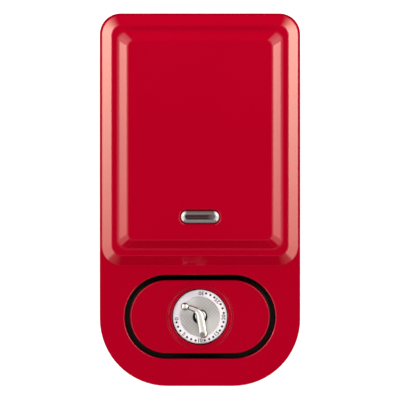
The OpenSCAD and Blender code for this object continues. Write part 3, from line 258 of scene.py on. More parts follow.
def black_grain(b, where):
    cells = b.put("ShaderNodeTexVoronoi", {"Vector": where, "Scale": 1400},
                  feature="SMOOTH_F1")
    worn = b.noise(where, 22)
    return {"Base Color": b.blend(worn, (26, 26, 28), (38, 38, 41)),
            "Roughness": 0.42 + worn * 0.16,
            "Bump": (cells * 0.6 + b.noise(where, 1.4, 5.0) * 0.4, 0.06)}


mix_finish("red_gloss", {"IOR": 1.5, "Specular Tint": (1, 0.45, 0.4, 1), "Coat Weight": 1.0,
                         "Coat Roughness": 0.02}, red_skin)
mix_finish("black_moulding", {"IOR": 1.5}, black_grain)
print(len(finishes), "finishes")

# %% [markdown]
# Plainer surfaces share one recipe: a cloud of noise moves the tone and the roughness, and
# a finer noise is the relief. Rubber is dull and dusty, ink soaks in, and the chrome plate
# of the lever and the lamp's ring has been worn from a mirror to a satin lustre.

# %% Plain finishes
def clouded(dark, light, rough, spread, cloud, relief, depth):
    """A skin from two tones, a roughness and two noises, each given as size and detail."""
    def skin(b, where):
        drift = b.noise(where, *cloud)
        height = b.noise(where, *relief) if relief else drift
        return {"Base Color": b.blend(drift, dark, light),
                "Roughness": rough + drift * spread, "Bump": (height, depth)}
    return skin


# the rubber is nearly black; on the console's seal and the dial's washer it also paints shade
mix_finish("rubber", {"IOR": 1.45},
           clouded((14, 13, 13), (30, 28, 27), 0.78, 0.15, (3, 6.0), (0.5, 3.0), 0.08))
mix_finish("ink", {"IOR": 1.5},
           clouded((24, 22, 25), (40, 38, 41), 0.5, 0.2, (0.3, 4.0), None, 0.01))
# a painted reflection: the grey that the ground flat of the lever's tip mirrors
mix_finish("grey_plug_painting_reflection", {"IOR": 1.45},
           clouded((112, 109, 106), (134, 131, 128), 0.6, 0.2, (0.5, 4.0), None, 0.03))
mix_finish("satin_chrome", METAL,
           clouded((226, 224, 220), (244, 243, 240), 0.17, 0.05, (3, 3.0), (2.2, 1.0), 0.01))
print(len(finishes), "finishes")

# %% [markdown]
# Sheet metal is rolled, so its marks run one way, and a screw's marks run every way. The
# heating tube has been hot: its colour drifts to straw and blue along its length.

# %% Metals
def rolled(dark, light, rough, spread, along=(0.06, 1, 1)):
    """A sheet metal with rolling marks that run along one direction."""
    def skin(b, where):
        marks = b.noise(where, 0.5, 6.0, along)
        cloud = b.noise(where, 14, 3.0)
        return {"Base Color": b.blend(marks * 0.5 + cloud * 0.5, dark, light),
                "Roughness": rough + cloud * spread, "Bump": (marks, 0.02)}
    return skin


ROLLED = {"steel": ((168, 170, 172), (205, 206, 207), 0.24, 0.16),
          "screw_steel": ((190, 190, 188), (224, 224, 222), 0.16, 0.14, (1, 1, 1)),
          "tin_sheet": ((205, 205, 203), (232, 232, 230), 0.2, 0.2, (1, 0.08, 1)),
          "brass": ((190, 150, 78), (224, 188, 112), 0.2, 0.18),
          "spring_steel": ((92, 98, 112), (140, 146, 158), 0.22, 0.2)}
for name, row in ROLLED.items():
    mix_finish(name, METAL, rolled(*row))


def hot_tube(b, where):
    soot = b.noise(where, 2.5, 6.0)
    tint = b.put("ShaderNodeValToRGB", {0: b.noise(where, 30, 3.0)}, stops=[
        (0.3, colour(120, 104, 84)), (0.48, colour(150, 122, 84)), (0.58, colour(104, 86, 112)),
        (0.7, colour(86, 98, 122))])
    return {"Base Color": b.blend(soot.step(0.5, 0.8), tint, (70, 64, 60)),
            "Roughness": 0.34 + soot * 0.3, "Bump": (soot, 0.03)}


mix_finish("heater_steel", METAL, hot_tube)
print(len(finishes), "finishes")

# %% [markdown]
# The dial is a turned aluminium disc. Its rim, where the numbers are printed, is bead
# blasted and lacquered, so it looks nearly white; a painted shade greys it a little towards
# half past ten. The sunk middle keeps the rings of the cutting tool, crossed by a faint
# checker from the polishing cloth. Its colour also carries a painted bow-tie of light and
# shade, as turned metal reflects it: darker at half past one and half past seven, lighter
# between, and the checker lies mostly in the darker sectors. The rings are drawn as a
# function of the distance from the timer's axis.

# %% Dial metal
AXIS = Vector((*middle(*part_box("timer_arbor"))[:2], 0))
FACE_R = 0.0133                     # radius of the sunk middle, in metres
TOOL_GAP, CHECK_GAP = 0.42, 2.4     # gaps of the two patterns, in millimetres


def turned_disc(b, where):
    x, y, _ = b.parts(where)
    dx, dy = x - AXIS.x, y - AXIS.y
    r = (dx * dx + dy * dy) ** 0.5
    face = 1 - r.step(FACE_R - 0.0002, FACE_R + 0.0001)
    painted_bow_sheen = dx * dy * 2 / (r * r)          # painted sheen and shade: the bow-tie of a turned face, 1 at half past one and half past seven, where the middle is darker
    weave = x.waves(CHECK_GAP) * y.waves(CHECK_GAP) * painted_bow_sheen.step(-0.3, 0.6)
    fine = b.noise(where, 0.4, 4.0)
    cloud = b.noise(where, 7, 3.0)
    # the middle's tone: a random cloud, the painted bow-tie of light and shade, and the checker
    shade = cloud * 0.3 + painted_bow_sheen * 0.3 + weave * 0.25
    centre = b.blend(shade.step(-0.3, 0.9), (248, 245, 241), (192, 185, 180))
    corner = ((dy - dx) / r).step(0.3, 1.3)      # painted shade: the rim is a little greyer at half past ten
    rim = b.blend(corner * 0.8 + fine * 0.2, (244, 236, 238), (218, 212, 217))
    return {"Base Color": b.blend(face, rim, centre), "Metallic": face * 0.6,
            "Roughness": 0.5 - face * 0.18 + cloud * 0.1,
            "Bump": (face * (r.waves(TOOL_GAP) * 0.4 + weave * 0.3) + fine * 0.1, 0.05)}


mix_finish("dial_metal", {"IOR": 1.5}, turned_disc)
print("axis of the timer at", [round(v * 1000, 2) for v in AXIS])

# %% [markdown]
# The plates are cast aluminium with a non-stick coating: almost black, with mineral specks
# and a soft orange-peel skin. Bushes and the terminal block are glazed ceramic. The leads
# have a glass-fibre sleeve, whose braid follows the lead, so its pattern reads two
# attributes that the lead's mesh carries: how far along it a point is, and how far round.
# The pilot lamp's window is smoked plastic, and the neon lamp behind it is glass with an
# orange glow in its gas.

# %% Coating, ceramic, sleeve, lens and neon
STRANDS = 4              # strands of the braid that cross a lead's side
BRAID_TWIST = 1900       # radians of the braid's waves in each metre of lead
WINDOW_FADE = (0.004, 0.0105)       # where the window turns paler towards its right end


def non_stick(b, where):
    specks = b.noise(where, 0.35).step(0.66, 0.72)
    rub = b.noise(where, 18, 3.0)
    tone = b.blend(rub, (40, 40, 42), (56, 55, 55))
    return {"Base Color": b.blend(specks * 0.6, tone, (120, 118, 114)),
            "Roughness": 0.3 + rub * 0.14 + specks * 0.1, "Bump": (b.noise(where, 1.1), 0.08)}


def glazed(b, where):
    body = b.noise(where, 4, 4.0)
    pits = b.noise(where, 0.6).step(0.3, 0.36)
    return {"Base Color": b.blend(body, (226, 218, 200), (240, 235, 222)),
            "Roughness": 0.3 + body * 0.2, "Bump": (pits * 0.6 + body * 0.4, 0.08)}


def braid(b, where):
    cos, sin, _ = b.parts(b.put("ShaderNodeAttribute", out="Vector", attribute_name="around"))
    run = b.put("ShaderNodeAttribute", out="Fac", attribute_name="along") * BRAID_TWIST
    ahead, aside = run.math("SINE") * cos, run.math("COSINE") * sin
    weave = (ahead + aside).math("MAXIMUM", ahead - aside)
    tone = b.blend(weave.step(-0.4, 0.9), (176, 168, 142), (232, 226, 206))
    return {"Base Color": tone, "Roughness": 0.7 + b.noise(where, 2) * 0.2,
            "Bump": (weave, 0.12)}


def smoked(b, where):
    x, y, _ = b.parts(where)
    lines = y.waves(1.1).step(0.1, 0.9)
    tone = b.blend(lines * 0.8, (46, 34, 34), (92, 78, 76))
    return {"Base Color": b.blend(x.step(*WINDOW_FADE) * 0.6, tone, (142, 126, 122)),
            "Roughness": 0.16 + b.noise(where, 8) * 0.1, "Bump": (lines, 0.06)}


def neon_glass(b, where):
    gas = b.noise(where, 2.4)
    return {"Base Color": b.blend(gas, (236, 128, 84), (248, 190, 150)),
            "Roughness": 0.08 + gas * 0.06,
            "Emission Color": b.blend(gas, (240, 100, 30), (250, 150, 60))}


mix_finish("plate_coating", {"IOR": 1.4}, non_stick)
mix_finish("ceramic", {"IOR": 1.5}, glazed)
mix_finish("lead_sleeve", {"IOR": 1.45}, braid)
mix_finish("lens", {"IOR": 1.5, "Coat Weight": 0.4}, smoked)
mix_finish("neon", {"IOR": 1.5, "Emission Strength": 0.25, "Coat Weight": 0.5}, neon_glass)
print("finishes:", ", ".join(finishes))

# %% [markdown]
# ## Rings and lofts
# The shells are drawn the way a mould maker thinks of them: as a stack of closed outlines.
# Every outline of a stack has the same number of points, so neighbours can be joined by
# quads. All drawing is done in millimetres, and `finish_piece` turns it into metres.

# %% Outlines
ARC = 16  # faces in each quarter turn of a corner


def mm_box(node):
    """The lowest and highest corners of a node, in millimetres."""
    return [corner * 1000 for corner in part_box(node)]


def arc(x, y, z, r, start, turn, faces):
    angles = [math.radians(start + turn * i / faces) for i in range(faces + 1)]
    return [Vector((x + r * math.cos(a), y + r * math.sin(a), z)) for a in angles]


def rounded(width, length, front_r, rear_r, middle_y, z):
    """A rounded rectangle as points, counter-clockwise from the rear right corner."""
    w, l = width / 2, length / 2
    points = []
    for x, y, r, start in ((w, l, rear_r, 0), (-w, l, rear_r, 90), (-w, -l, front_r, 180),
                           (w, -l, front_r, 270)):
        centre = (x - math.copysign(r, x), middle_y + (y - math.copysign(r, y)))
        points += arc(*centre, z, r, start, 90, ARC)
    return points


def long_round(width, length, middle_y, z):
    """A bar with two half-round ends, with as many points as a rounded rectangle."""
    r = length / 2
    half = width / 2 - r
    return [p for side in (1, -1)
            for p in arc(side * half, middle_y, z, r, -90 * side, 180, 2 * ARC + 1)]


def circle_ring(r, z, centre=(0, 0), count=96):
    turn = 2 * math.pi / count
    return [Vector((centre[0] + r * math.cos(i * turn), centre[1] + r * math.sin(i * turn), z))
            for i in range(count)]


print("a rounded rectangle has", len(rounded(20, 30, 4, 4, 0, 0)), "points")

# %% Softened paths
def soft_path(*rows, steps=4):
    """A path with rounded corners. The last number of a row is how far before and after its
    point the rounding starts. The numbers before it are the point, of any dimension."""
    points, result = [row[:-1] for row in rows], []
    for i, (p, cut) in enumerate(zip(points, [row[-1] for row in rows])):
        if not cut or i in (0, len(points) - 1):
            result.append(list(p))
            continue
        ends = []
        for q in (points[i - 1], points[i + 1]):
            reach = math.hypot(q[0] - p[0], q[-1] - p[-1])
            share = min(cut / reach, 0.49)
            ends.append([a + (b - a) * share for a, b in zip(p, q)])
        for k in range(steps + 1):
            t = k / steps
            result.append([(1 - t) ** 2 * a + 2 * t * (1 - t) * m + t * t * b
                           for a, m, b in zip(ends[0], p, ends[1])])
    return result


def round_edge(r, z, steps=8):
    """Insets and heights of a quarter round, from the wall up to a flat at height z."""
    return [(-r * (1 - math.cos(a)), z - r * (1 - math.sin(a)))
            for a in [math.pi / 2 * k / steps for k in range(steps + 1)]]


print("a path with one soft corner:", soft_path((0, 0, 0), (0, 5, 2), (5, 5, 0), steps=2))

# %% Lofts
def lay(bm, points):
    return [bm.verts.new(p) for p in points]


def join_rings(bm, below, above):
    """Quads between two closed rings. They face outwards if above lies higher."""
    n = len(below)
    for i in range(n):
        j = (i + 1) % n
        bm.faces.new((below[i], below[j], above[j], above[i]))


def loft(bm, rings):
    """Lay a stack of rings and join them. Returns the first and the last ring."""
    laid = [lay(bm, ring) for ring in rings]
    for below, above in zip(laid, laid[1:]):
        join_rings(bm, below, above)
    return laid[0], laid[-1]


def solid(rings, bm=None):
    """A drawing lofted through rings, with a face over either end."""
    bm = bm or bmesh.new()
    first, last = loft(bm, rings)
    bm.faces.new(first[::-1])
    bm.faces.new(last)
    return bm


def hoop(rings):
    """A drawing lofted through rings, whose last ring is joined to the first."""
    bm = bmesh.new()
    first, last = loft(bm, rings)
    join_rings(bm, last, first)
    return bm


sample = solid([rounded(20, 30, 4, 4, 0, z) for z in (0, 10)])
print("a block with round corners has", len(sample.faces), "faces")
sample.free()

# %% Flat fills and turned solids
def inside(p, ring):
    """Whether a point lies in a closed ring, counted by the edges to its right."""
    hits = 0
    for a, b in zip(ring, ring[1:] + ring[:1]):
        if (a.co.y > p.y) != (b.co.y > p.y):
            hits += a.co.x + (p.y - a.co.y) * (b.co.x - a.co.x) / (b.co.y - a.co.y) > p.x
    return hits % 2 == 1


def fill_flat(bm, outer, holes):
    """Triangles over a flat region between an outer ring and the rings of its holes."""
    verts, edges = [], []
    for ring in (outer, *holes):
        start, n = len(verts), len(ring)
        verts += ring
        edges += [(start + i, start + (i + 1) % n) for i in range(n)]
    out = delaunay_2d_cdt([v.co.to_2d() for v in verts], edges, [], 1, 1e-7)
    for face in out[2]:
        corner = [verts[out[3][i][0]] for i in face]
        a, b, c = (v.co for v in corner)
        if any(inside((a + b + c) / 3, hole) for hole in holes):
            continue
        rises = (b - a).cross(c - a).z > 0
        bm.faces.new(corner if rises else corner[::-1])


def lathe(profile, centre=(0, 0), count=96, bm=None):
    """A turned solid: the profile gives radius and height, from the bottom middle up and
    back to the middle. A radius of 0 at an end closes it with a point."""
    bm = bm or bmesh.new()
    first, last = loft(bm, [circle_ring(r, z, centre, count) for r, z in profile if r > 1e-6])
    for (r, z), ring, end in ((profile[0], first, 0), (profile[-1], last, 1)):
        if r > 1e-6:
            continue
        tip = bm.verts.new((*centre, z))
        for i in range(count):
            pair = (ring[i], ring[(i + 1) % count])
            bm.faces.new((*pair, tip) if end else (*pair[::-1], tip))
    if profile[0][0] > 1e-6 and profile[-1][0] > 1e-6:
        join_rings(bm, last, first)
    return bm


sample = lathe([(0, 0), (5, 0), (5, 8), (0, 8)], count=24)
print("a turned button has", len(sample.faces), "faces")
sample.free()


# %% [markdown]
# `finish_piece` is the end of the line for every drawn piece. It scales it to metres, marks
# its sharp edges, evens the normals so that large flats stay flat in the gloss, hangs it on
# the body that carries it and hides the plain node it stands for. `cut_away` is a
# Boolean: it lets a drawing be made whole and then notched, as on a milling machine.

# %% In and out of a drawing
def plain_mesh(bm, name):
    """A drawing as a mesh. The drawing is used up."""
    mesh = bpy.data.meshes.new(name)
    bm.to_mesh(mesh)
    bm.free()
    return mesh


def shape_of(obj):
    """An object's shape after its modifiers, as a mesh."""
    graph = bpy.context.evaluated_depsgraph_get()
    return bpy.data.meshes.new_from_object(obj.evaluated_get(graph))


def clear_away(*objects):
    for obj in objects:
        data = obj.data
        bpy.data.objects.remove(obj)
        (bpy.data.curves if isinstance(data, bpy.types.Curve) else bpy.data.meshes).remove(data)


def absorb(bm, mesh):
    """Add a mesh to a drawing. The mesh is used up."""
    bm.from_mesh(mesh)
    bpy.data.meshes.remove(mesh)


def gather(*meshes):
    """One drawing from several meshes."""
    bm = bmesh.new()
    for mesh in meshes:
        absorb(bm, mesh)
    return bm


def face_outwards(bm):
    bmesh.ops.recalc_face_normals(bm, faces=bm.faces)


def weld(bm, distance):
    bmesh.ops.remove_doubles(bm, verts=bm.verts, dist=distance)


def to_metres(bm):
    bmesh.ops.scale(bm, vec=(0.001,) * 3, verts=bm.verts)


sample = gather(*[plain_mesh(lathe([(0, 0), (5, z), (0, z)]), "cone") for z in (4, 8)])
weld(sample, 1e-4)
print("two cones with one tip have", len(sample.verts), "points")
sample.free()

# %% From drawing to piece
SHARP = 32       # degrees that an edge turns by before it is drawn sharp


def mark_edges(bm, sharp):
    limit = math.radians(sharp)
    for edge in bm.edges:
        edge.smooth = len(edge.link_faces) == 2 and edge.calc_face_angle(0) < limit
    for face in bm.faces:
        face.smooth = True


def even_normals(piece):
    """Weight the normals by face size, and keep the result as a plain mesh."""
    modifier = piece.modifiers.new("even", "WEIGHTED_NORMAL")
    modifier.keep_sharp, modifier.weight = True, 60
    mesh = shape_of(piece)
    piece.modifiers.remove(modifier)
    old, piece.data = piece.data, mesh
    bpy.data.meshes.remove(old)


def finish_piece(name, bm, finish, body, replaces=(), sharp=SHARP, even=True,
                 metres=False, outward=False):
    if not metres:
        to_metres(bm)
    if outward:
        face_outwards(bm)
    mark_edges(bm, sharp)
    piece = put_in_scene(name, plain_mesh(bm, name))
    piece.data.materials.append(finishes[finish])
    if even:
        even_normals(piece)
    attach(piece, body)
    if replaces:
        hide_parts(*replaces)
    print(f"{name}: {len(piece.data.polygons)} faces")


print("edges are sharp from", SHARP, "degrees on")

# %% Cutting, and a block with soft edges
def cut_away(*drawings):
    """Subtract closed drawings from the first one, and return the result."""
    for bm in drawings:
        face_outwards(bm)
    work, *tools = [put_in_scene("work", plain_mesh(bm, "work")) for bm in drawings]
    for tool in tools:
        modifier = work.modifiers.new("cut", "BOOLEAN")
        modifier.operation, modifier.solver, modifier.object = "DIFFERENCE", "EXACT", tool
    result = gather(shape_of(work))
    clear_away(work, *tools)
    weld(result, 1e-5)
    return result


def block(bm, low, high, soft):
    """A box between two corners, with its edges rounded."""
    made = bmesh.ops.create_cube(bm, size=1)["verts"]
    for v in made:
        v.co = Vector([a + (c + 0.5) * (b - a) for a, b, c in zip(Vector(low), Vector(high), v.co)])
    edges = list({e for v in made for e in v.link_edges})
    bmesh.ops.bevel(bm, geom=edges, offset=soft, segments=2, profile=0.5, affect="EDGES",
                    clamp_overlap=True)


sample = bmesh.new()
block(sample, (0, 0, 0), (10, 10, 10), 1)
print("a soft block has", len(sample.faces), "faces")
sample.free()

# %% [markdown]
# ## The lid
# The lid is one moulding: a skirt, the flat of the loop handle and a panel that rises in
# two steps. On the real one every step has a small radius, and those radii are what catch
# the light. The lid is therefore lofted from rings, and the corners of its profile are
# rounded by `soft_path`, which works on insets, corner radius and height together.
# An inner skin, one wall thinner, closes it below.

# %% Sizes of the lid
lid_lo, lid_hi = mm_box("lid_shell")
latch_lo, latch_hi = mm_box("lid_latch")
BODY_W, BODY_L = lid_hi.x - lid_lo.x, lid_hi.y - lid_lo.y
REAR_R, FRONT_R, WALL = 14, 45, 2.4
LID_Z, TOP_Z = lid_lo.z, lid_hi.z
FLAT_Z, STEP_Z = LID_Z + 24, LID_Z + 30.5
PANEL_Y = lid_lo.y + 80.5
PANEL_W, PANEL_L = BODY_W - 3, lid_hi.y - 1.5 - PANEL_Y
SLOT_Y, SLOT_W, SLOT_L = AXIS.y * 1000, 100.8, 56
LAMP_Y = PANEL_Y + 32.5
BEZEL_W, BEZEL_L = 25.2, 8.2
SEAT_Z = TOP_Z - 1.5                # floor of the lamp's recess
LAMP_HOLE = -1.4                    # the hole under the lamp, against the bezel's outline
RIM_IN = 0.7                        # inset of the flat on the lower rims
# inset from the sides, inset from the ends, corner radius, height, rounding
PANEL_STEPS = [(0, 0, 13, FLAT_Z, 0.5), (6.9, 6.8, 7, STEP_Z, 0.8),
               (10.6, 11.1, 6, STEP_Z, 1.9), (17.7, 17.2, 4.5, TOP_Z, 1.3)]
print("lid", round(BODY_W, 1), "x", round(BODY_L, 1), "mm, top at", round(TOP_Z, 1))

# %% The lid's rings
def body_ring(inset, z):
    return rounded(BODY_W - 2 * inset, BODY_L - 2 * inset, FRONT_R - inset, REAR_R - inset, 0, z)


def panel_ring(inset_x, inset_y, r, z):
    return rounded(PANEL_W - 2 * inset_x, PANEL_L - 2 * inset_y, r, r, PANEL_Y + PANEL_L / 2, z)


def slot_ring(grow, z):
    return long_round(SLOT_W + 2 * grow, SLOT_L + 2 * grow, SLOT_Y, z)


def bezel_ring(grow, z):
    return long_round(BEZEL_W + 2 * grow, BEZEL_L + 2 * grow, LAMP_Y, z)


def rings(shape, path):
    return [shape(*p) for p in path]


def draw_lid():
    bm = bmesh.new()
    skirt = soft_path((RIM_IN, LID_Z, 0), (0, LID_Z, 0.4), (0, FLAT_Z, 0.9), (0.97, FLAT_Z, 0))
    edge = loft(bm, rings(body_ring, skirt))[1]
    panel = soft_path((-0.5, -0.5, 13.5, FLAT_Z, 0), *PANEL_STEPS, (19.4, 18.9, 3.6, TOP_Z, 0))
    foot, face = loft(bm, rings(panel_ring, panel))
    slot = soft_path((RIM_IN, LID_Z, 0), (0, LID_Z, 0.4), (0, FLAT_Z - 2, 0))
    slot += [(-inset, z) for inset, z in round_edge(1.1, FLAT_Z)]
    slot_top = loft(bm, rings(slot_ring, slot))[1]
    fill_flat(bm, edge, [foot, slot_top])
    seat = soft_path((1.9, TOP_Z, 0), (1.5, TOP_Z, 0.2), (0.8, TOP_Z - 0.6, 0.1),
                     (0.6, SEAT_Z, 0.1), (LAMP_HOLE, SEAT_Z, 0.15), (LAMP_HOLE, TOP_Z - WALL, 0))
    seat_top = loft(bm, rings(bezel_ring, seat[::-1]))[1]
    fill_flat(bm, face, [seat_top])
    return bm


def draw_hollow():
    """The inner skin, drawn like the outer one and then turned inside out."""
    bm = bmesh.new()
    wall = [(WALL, LID_Z), (WALL, FLAT_Z - WALL)]
    edge = loft(bm, rings(body_ring, wall))[1]
    foot, face = loft(bm, [panel_ring(a + WALL / 2, b + WALL / 2, r - WALL / 2, z - WALL)
                           for a, b, r, z, _ in PANEL_STEPS])
    slot_top = loft(bm, rings(slot_ring, wall))[1]
    fill_flat(bm, edge, [foot, slot_top])
    fill_flat(bm, face, [lay(bm, bezel_ring(LAMP_HOLE, TOP_Z - WALL))])
    bmesh.ops.reverse_faces(bm, faces=bm.faces)
    return bm


def close_lid():
    bm = draw_lid()
    absorb(bm, plain_mesh(draw_hollow(), "hollow"))
    for ring in (body_ring, slot_ring):         # the rims between the two skins
        join_rings(bm, lay(bm, ring(RIM_IN, LID_Z)), lay(bm, ring(WALL, LID_Z)))
    weld(bm, 1e-4)
    return bm


whole_lid = close_lid()
print("the lid before its notches:", len(whole_lid.faces), "faces")


# %% [markdown]
# Two cutters notch the lid: a round-nosed bar clears the hinge, and a pocket that flares at
# the outer face, which leaves a small chamfer, takes the latch. Two cheeks inside the front
# wall carry the latch's pin.

# %% Notches and cheeks
_, HINGE_Y, HINGE_Z = middle(*mm_box("hinge_pins"))
HINGE_ROOM, FAR = 6, 20             # radius round the hinge's axis, and clear of the lid
LATCH_ROOM, FLARE = 0.5, 1.6
CHEEK, CHEEK_GAP = 1.6, 2.4         # half its thickness, and its place beside the latch


def hinge_notch():
    turn = [math.radians(-7.5 * i) for i in range(25)]
    outline = [(HINGE_Y + HINGE_ROOM * math.sin(a), HINGE_Z + HINGE_ROOM * math.cos(a))
               for a in turn]
    outline += [(HINGE_Y + FAR, HINGE_Z - HINGE_ROOM), (HINGE_Y + FAR, HINGE_Z + HINGE_ROOM)]
    return solid([[(x, y, z) for y, z in outline] for x in (-80, 80)])


def latch_pocket():
    x, low, top = latch_hi.x + LATCH_ROOM, LID_Z - 2, latch_hi.z + 0.4
    return solid([[(-x - flare, y, low), (x + flare, y, low), (x + flare, y, top + flare),
                   (-x - flare, y, top + flare)]
                  for y, flare in ((lid_lo.y - 1, FLARE), (lid_lo.y + 0.5, 0),
                                   (lid_lo.y + WALL + 1, 0))])


lid = cut_away(whole_lid, hinge_notch(), latch_pocket())
for side in (-1, 1):
    x = side * (latch_hi.x + CHEEK_GAP)
    block(lid, (x - CHEEK, lid_lo.y + WALL / 2, latch_hi.z - 9),
          (x + CHEEK, lid_lo.y + 9.2, FLAT_Z - 1.2), 0.5)
finish_piece("lid_housing", lid, "red_gloss", "lid", replaces=["lid_shell"])

# %% [markdown]
# ## The console
# The red island in the slot is a moulding of its own, screwed to the base. Its top is flat
# with a well for the dial, a fine groove round it and a small raised pointer at zero. A
# stadium-shaped skin and a turned inside meet in two flat fills, one on top and one below.

# %% The console
con_lo, con_hi = mm_box("timer_console")
dial_lo, dial_hi = mm_box("timer_dial")
TIMER = (AXIS.x * 1000, AXIS.y * 1000)
TOP = con_hi.z - 0.35
WELL_R, WELL_FLOOR, GROOVE_R = 18.8, TOP - 4, 21.6
ARBOR_HOLE = 2.7
GAP = 3.6                           # between the console and the slot's edge


def island_ring(grow, z):
    return slot_ring(grow - GAP, z)


def draw_console():
    foot, floor, g = con_lo.z, WELL_FLOOR - WALL, GROOVE_R
    bm = bmesh.new()
    skin = soft_path((-WALL, TOP - WALL, 0), (-WALL, foot, 0.3), (4, foot, 0.4),
                     (4, foot + 2, 0.4), (0, foot + 2, 0.4), (0, TOP - 2, 0))
    ceiling, edge = loft(bm, rings(island_ring, skin + round_edge(1.3, TOP)))
    turned = soft_path((g + 1.25, TOP, 0), (g + 0.65, TOP, 0.4), (g + 0.45, TOP - 0.45, 0.25),
                       (g - 0.45, TOP - 0.45, 0.25), (g - 0.65, TOP, 0.4),
                       (WELL_R + 0.1, TOP, 0.4), (WELL_R, WELL_FLOOR, 0.5),
                       (ARBOR_HOLE, WELL_FLOOR, 0.2), (ARBOR_HOLE, floor, 0.2),
                       (WELL_R + WALL, floor, 0.5), (WELL_R + WALL, TOP - WALL, 0))
    rim, root = loft(bm, [circle_ring(r, z, TIMER) for r, z in turned])
    fill_flat(bm, edge, [rim])
    fill_flat(bm, ceiling, [root])
    x, y = TIMER[0] - (WELL_R + GROOVE_R) / 2, TIMER[1]
    pointer = [(-0.95, -1.1), (0.95, 0), (-0.95, 1.1)]
    return solid([[(x + a * k, y + b * k, z) for a, b in pointer]
                  for k, z in ((1.15, TOP - 0.2), (1, TOP + 0.25), (0.75, TOP + 0.35))], bm)


finish_piece("console", draw_console(), "red_gloss", "base", replaces=["timer_console"],
             outward=True)

# %% [markdown]
# A soft black seal lies on the deck round the console's foot. It is what one sees at the
# bottom of the slot, and it is painted shade: it darkens the deck there, which would
# otherwise show red.

# %% The console's seal, a painted shade at the bottom of the slot
DECK_Z = LID_Z - 15
# painted shade: a near-black rubber ring on the deck, where the slot's bottom lies in deep shade
shade_ring_path = soft_path((0.05, DECK_Z + 0.02, 0), (6, DECK_Z + 0.02, 0.1), (5.6, DECK_Z + 0.8, 0.4),
                 (1.2, DECK_Z + 1.2, 0.6), (0.05, DECK_Z + 2.2, 0))
finish_piece("console_seal", hoop(rings(island_ring, shade_ring_path)), "rubber", "base", outward=True)

# %% [markdown]
# ## The dial
# A turned disc with a raised, slightly coned rim and a sunk middle. The scale is printed on
# the rim: a number every 44 degrees and three dots between two numbers. A print is a thin
# layer of ink, so numbers and dots are flat meshes that stand a few hundredths proud.
# The numbers are text turned into mesh, each with its head towards the middle.

# %% The dial
SUNK = dial_hi.z - 0.9             # the rim lies a little below the console's face
FACE_Z = SUNK - 0.4
DIAL_R, BORE = 18.2, 2.01
RIM_OUTER, RIM_INNER, RIM_FALL = 17.35, 13.6, 0.25      # the coned rim's radii and fall


def rim_height(r):
    return SUNK - RIM_FALL * (r - RIM_INNER) / (RIM_OUTER - RIM_INNER)


disc = soft_path((BORE, dial_lo.z, 0), (DIAL_R, dial_lo.z, 0.2), (DIAL_R, SUNK - 0.85, 0.3),
                 (RIM_OUTER, SUNK - RIM_FALL, 0.4), (RIM_INNER, SUNK, 0.2), (13.2, FACE_Z, 0.2),
                 (BORE, FACE_Z, 0))
finish_piece("dial_disc", lathe(disc, TIMER, 160), "dial_metal", "timer_spindle",
             replaces=["timer_dial"])

# %% The printed scale
ZERO_AT, DOT_STEP = 182.4, 11      # degrees
NUMBERS_R, NUMBERS_SIZE, DOTS_R, DOT = 15.7, 3.4, 16.1, 0.74
INK = 0.05


def on_dial(degrees, r):
    a = math.radians(degrees)
    return TIMER[0] + r * math.cos(a), TIMER[1] + r * math.sin(a)


def flat_text(body, size):
    """A mesh of flat text in the drawing plane."""
    curve = bpy.data.curves.new("text", "FONT")
    curve.body, curve.size, curve.offset = body, size, size * 0.012
    curve.align_x = curve.align_y = "CENTER"
    text = put_in_scene("text", curve)
    mesh = shape_of(text)
    clear_away(text)
    return mesh


def order_of(face):
    """A number from the three first points of a face, so that no two faces share it."""
    first, second, third = sorted(v.index for v in face.verts)[:3]
    return (first * 1e4 + second) * 1e4 + third


def print_scale():
    bm = bmesh.new()
    for k in range(7):
        degrees = ZERO_AT + 4 * DOT_STEP * k + (0.5 if k else 2.6)
        widen = 1.1 if k else 1.2
        mesh = flat_text(str(5 * k), NUMBERS_SIZE)
        centre = [(min(v.co[i] for v in mesh.vertices) + max(v.co[i] for v in mesh.vertices)) / 2
                  for i in (0, 1)]
        turned = Matrix.Rotation(math.radians(degrees) + math.pi / 2, 4, "Z")
        for v in mesh.vertices:
            p = turned @ Vector(((v.co.x - centre[0]) * widen, v.co.y - centre[1], 0))
            p += Vector((*on_dial(degrees, NUMBERS_R), 0))
            r = math.hypot(p.x - TIMER[0], p.y - TIMER[1])
            v.co = (p.x, p.y, rim_height(r) + INK)
        absorb(bm, mesh)
    for k in range(24):
        if k % 4:
            c = on_dial(ZERO_AT + DOT_STEP * k, DOTS_R)
            bm.faces.new(lay(bm, circle_ring(DOT, rim_height(DOTS_R) + INK, c, 14)))
    weld(bm, 1e-4)
    made = bmesh.ops.extrude_face_region(bm, geom=bm.faces[:], use_keep_orig=True)["geom"]
    for v in made:
        if isinstance(v, bmesh.types.BMVert):
            v.co.z -= 2 * INK
    bm.verts.index_update()
    bm.faces.sort(key=order_of)      # an extrusion's walls come in another order each run
    return bm


finish_piece("dial_scale", print_scale(), "ink", "timer_spindle", even=False,
             outward=True)

# %% [markdown]
# ## The lever
# The timer is wound with a bent, chromed lever: a thick arm on one side of the hub and a
# thin one with a ball on the other. It is a tube with a changing radius, swept along a
# bent path, and both ends are closed by half spheres. Its thick end is ground flat, and a
# grey plug on that flat paints the dark reflection that the flat shows. The hub is turned,
# and leans towards the bend. A dark rubber washer round the hub's foot is partly a real
# washer and partly painted shade.

# %% The lever's path
ARM_Z = dial_hi.z + 5.4
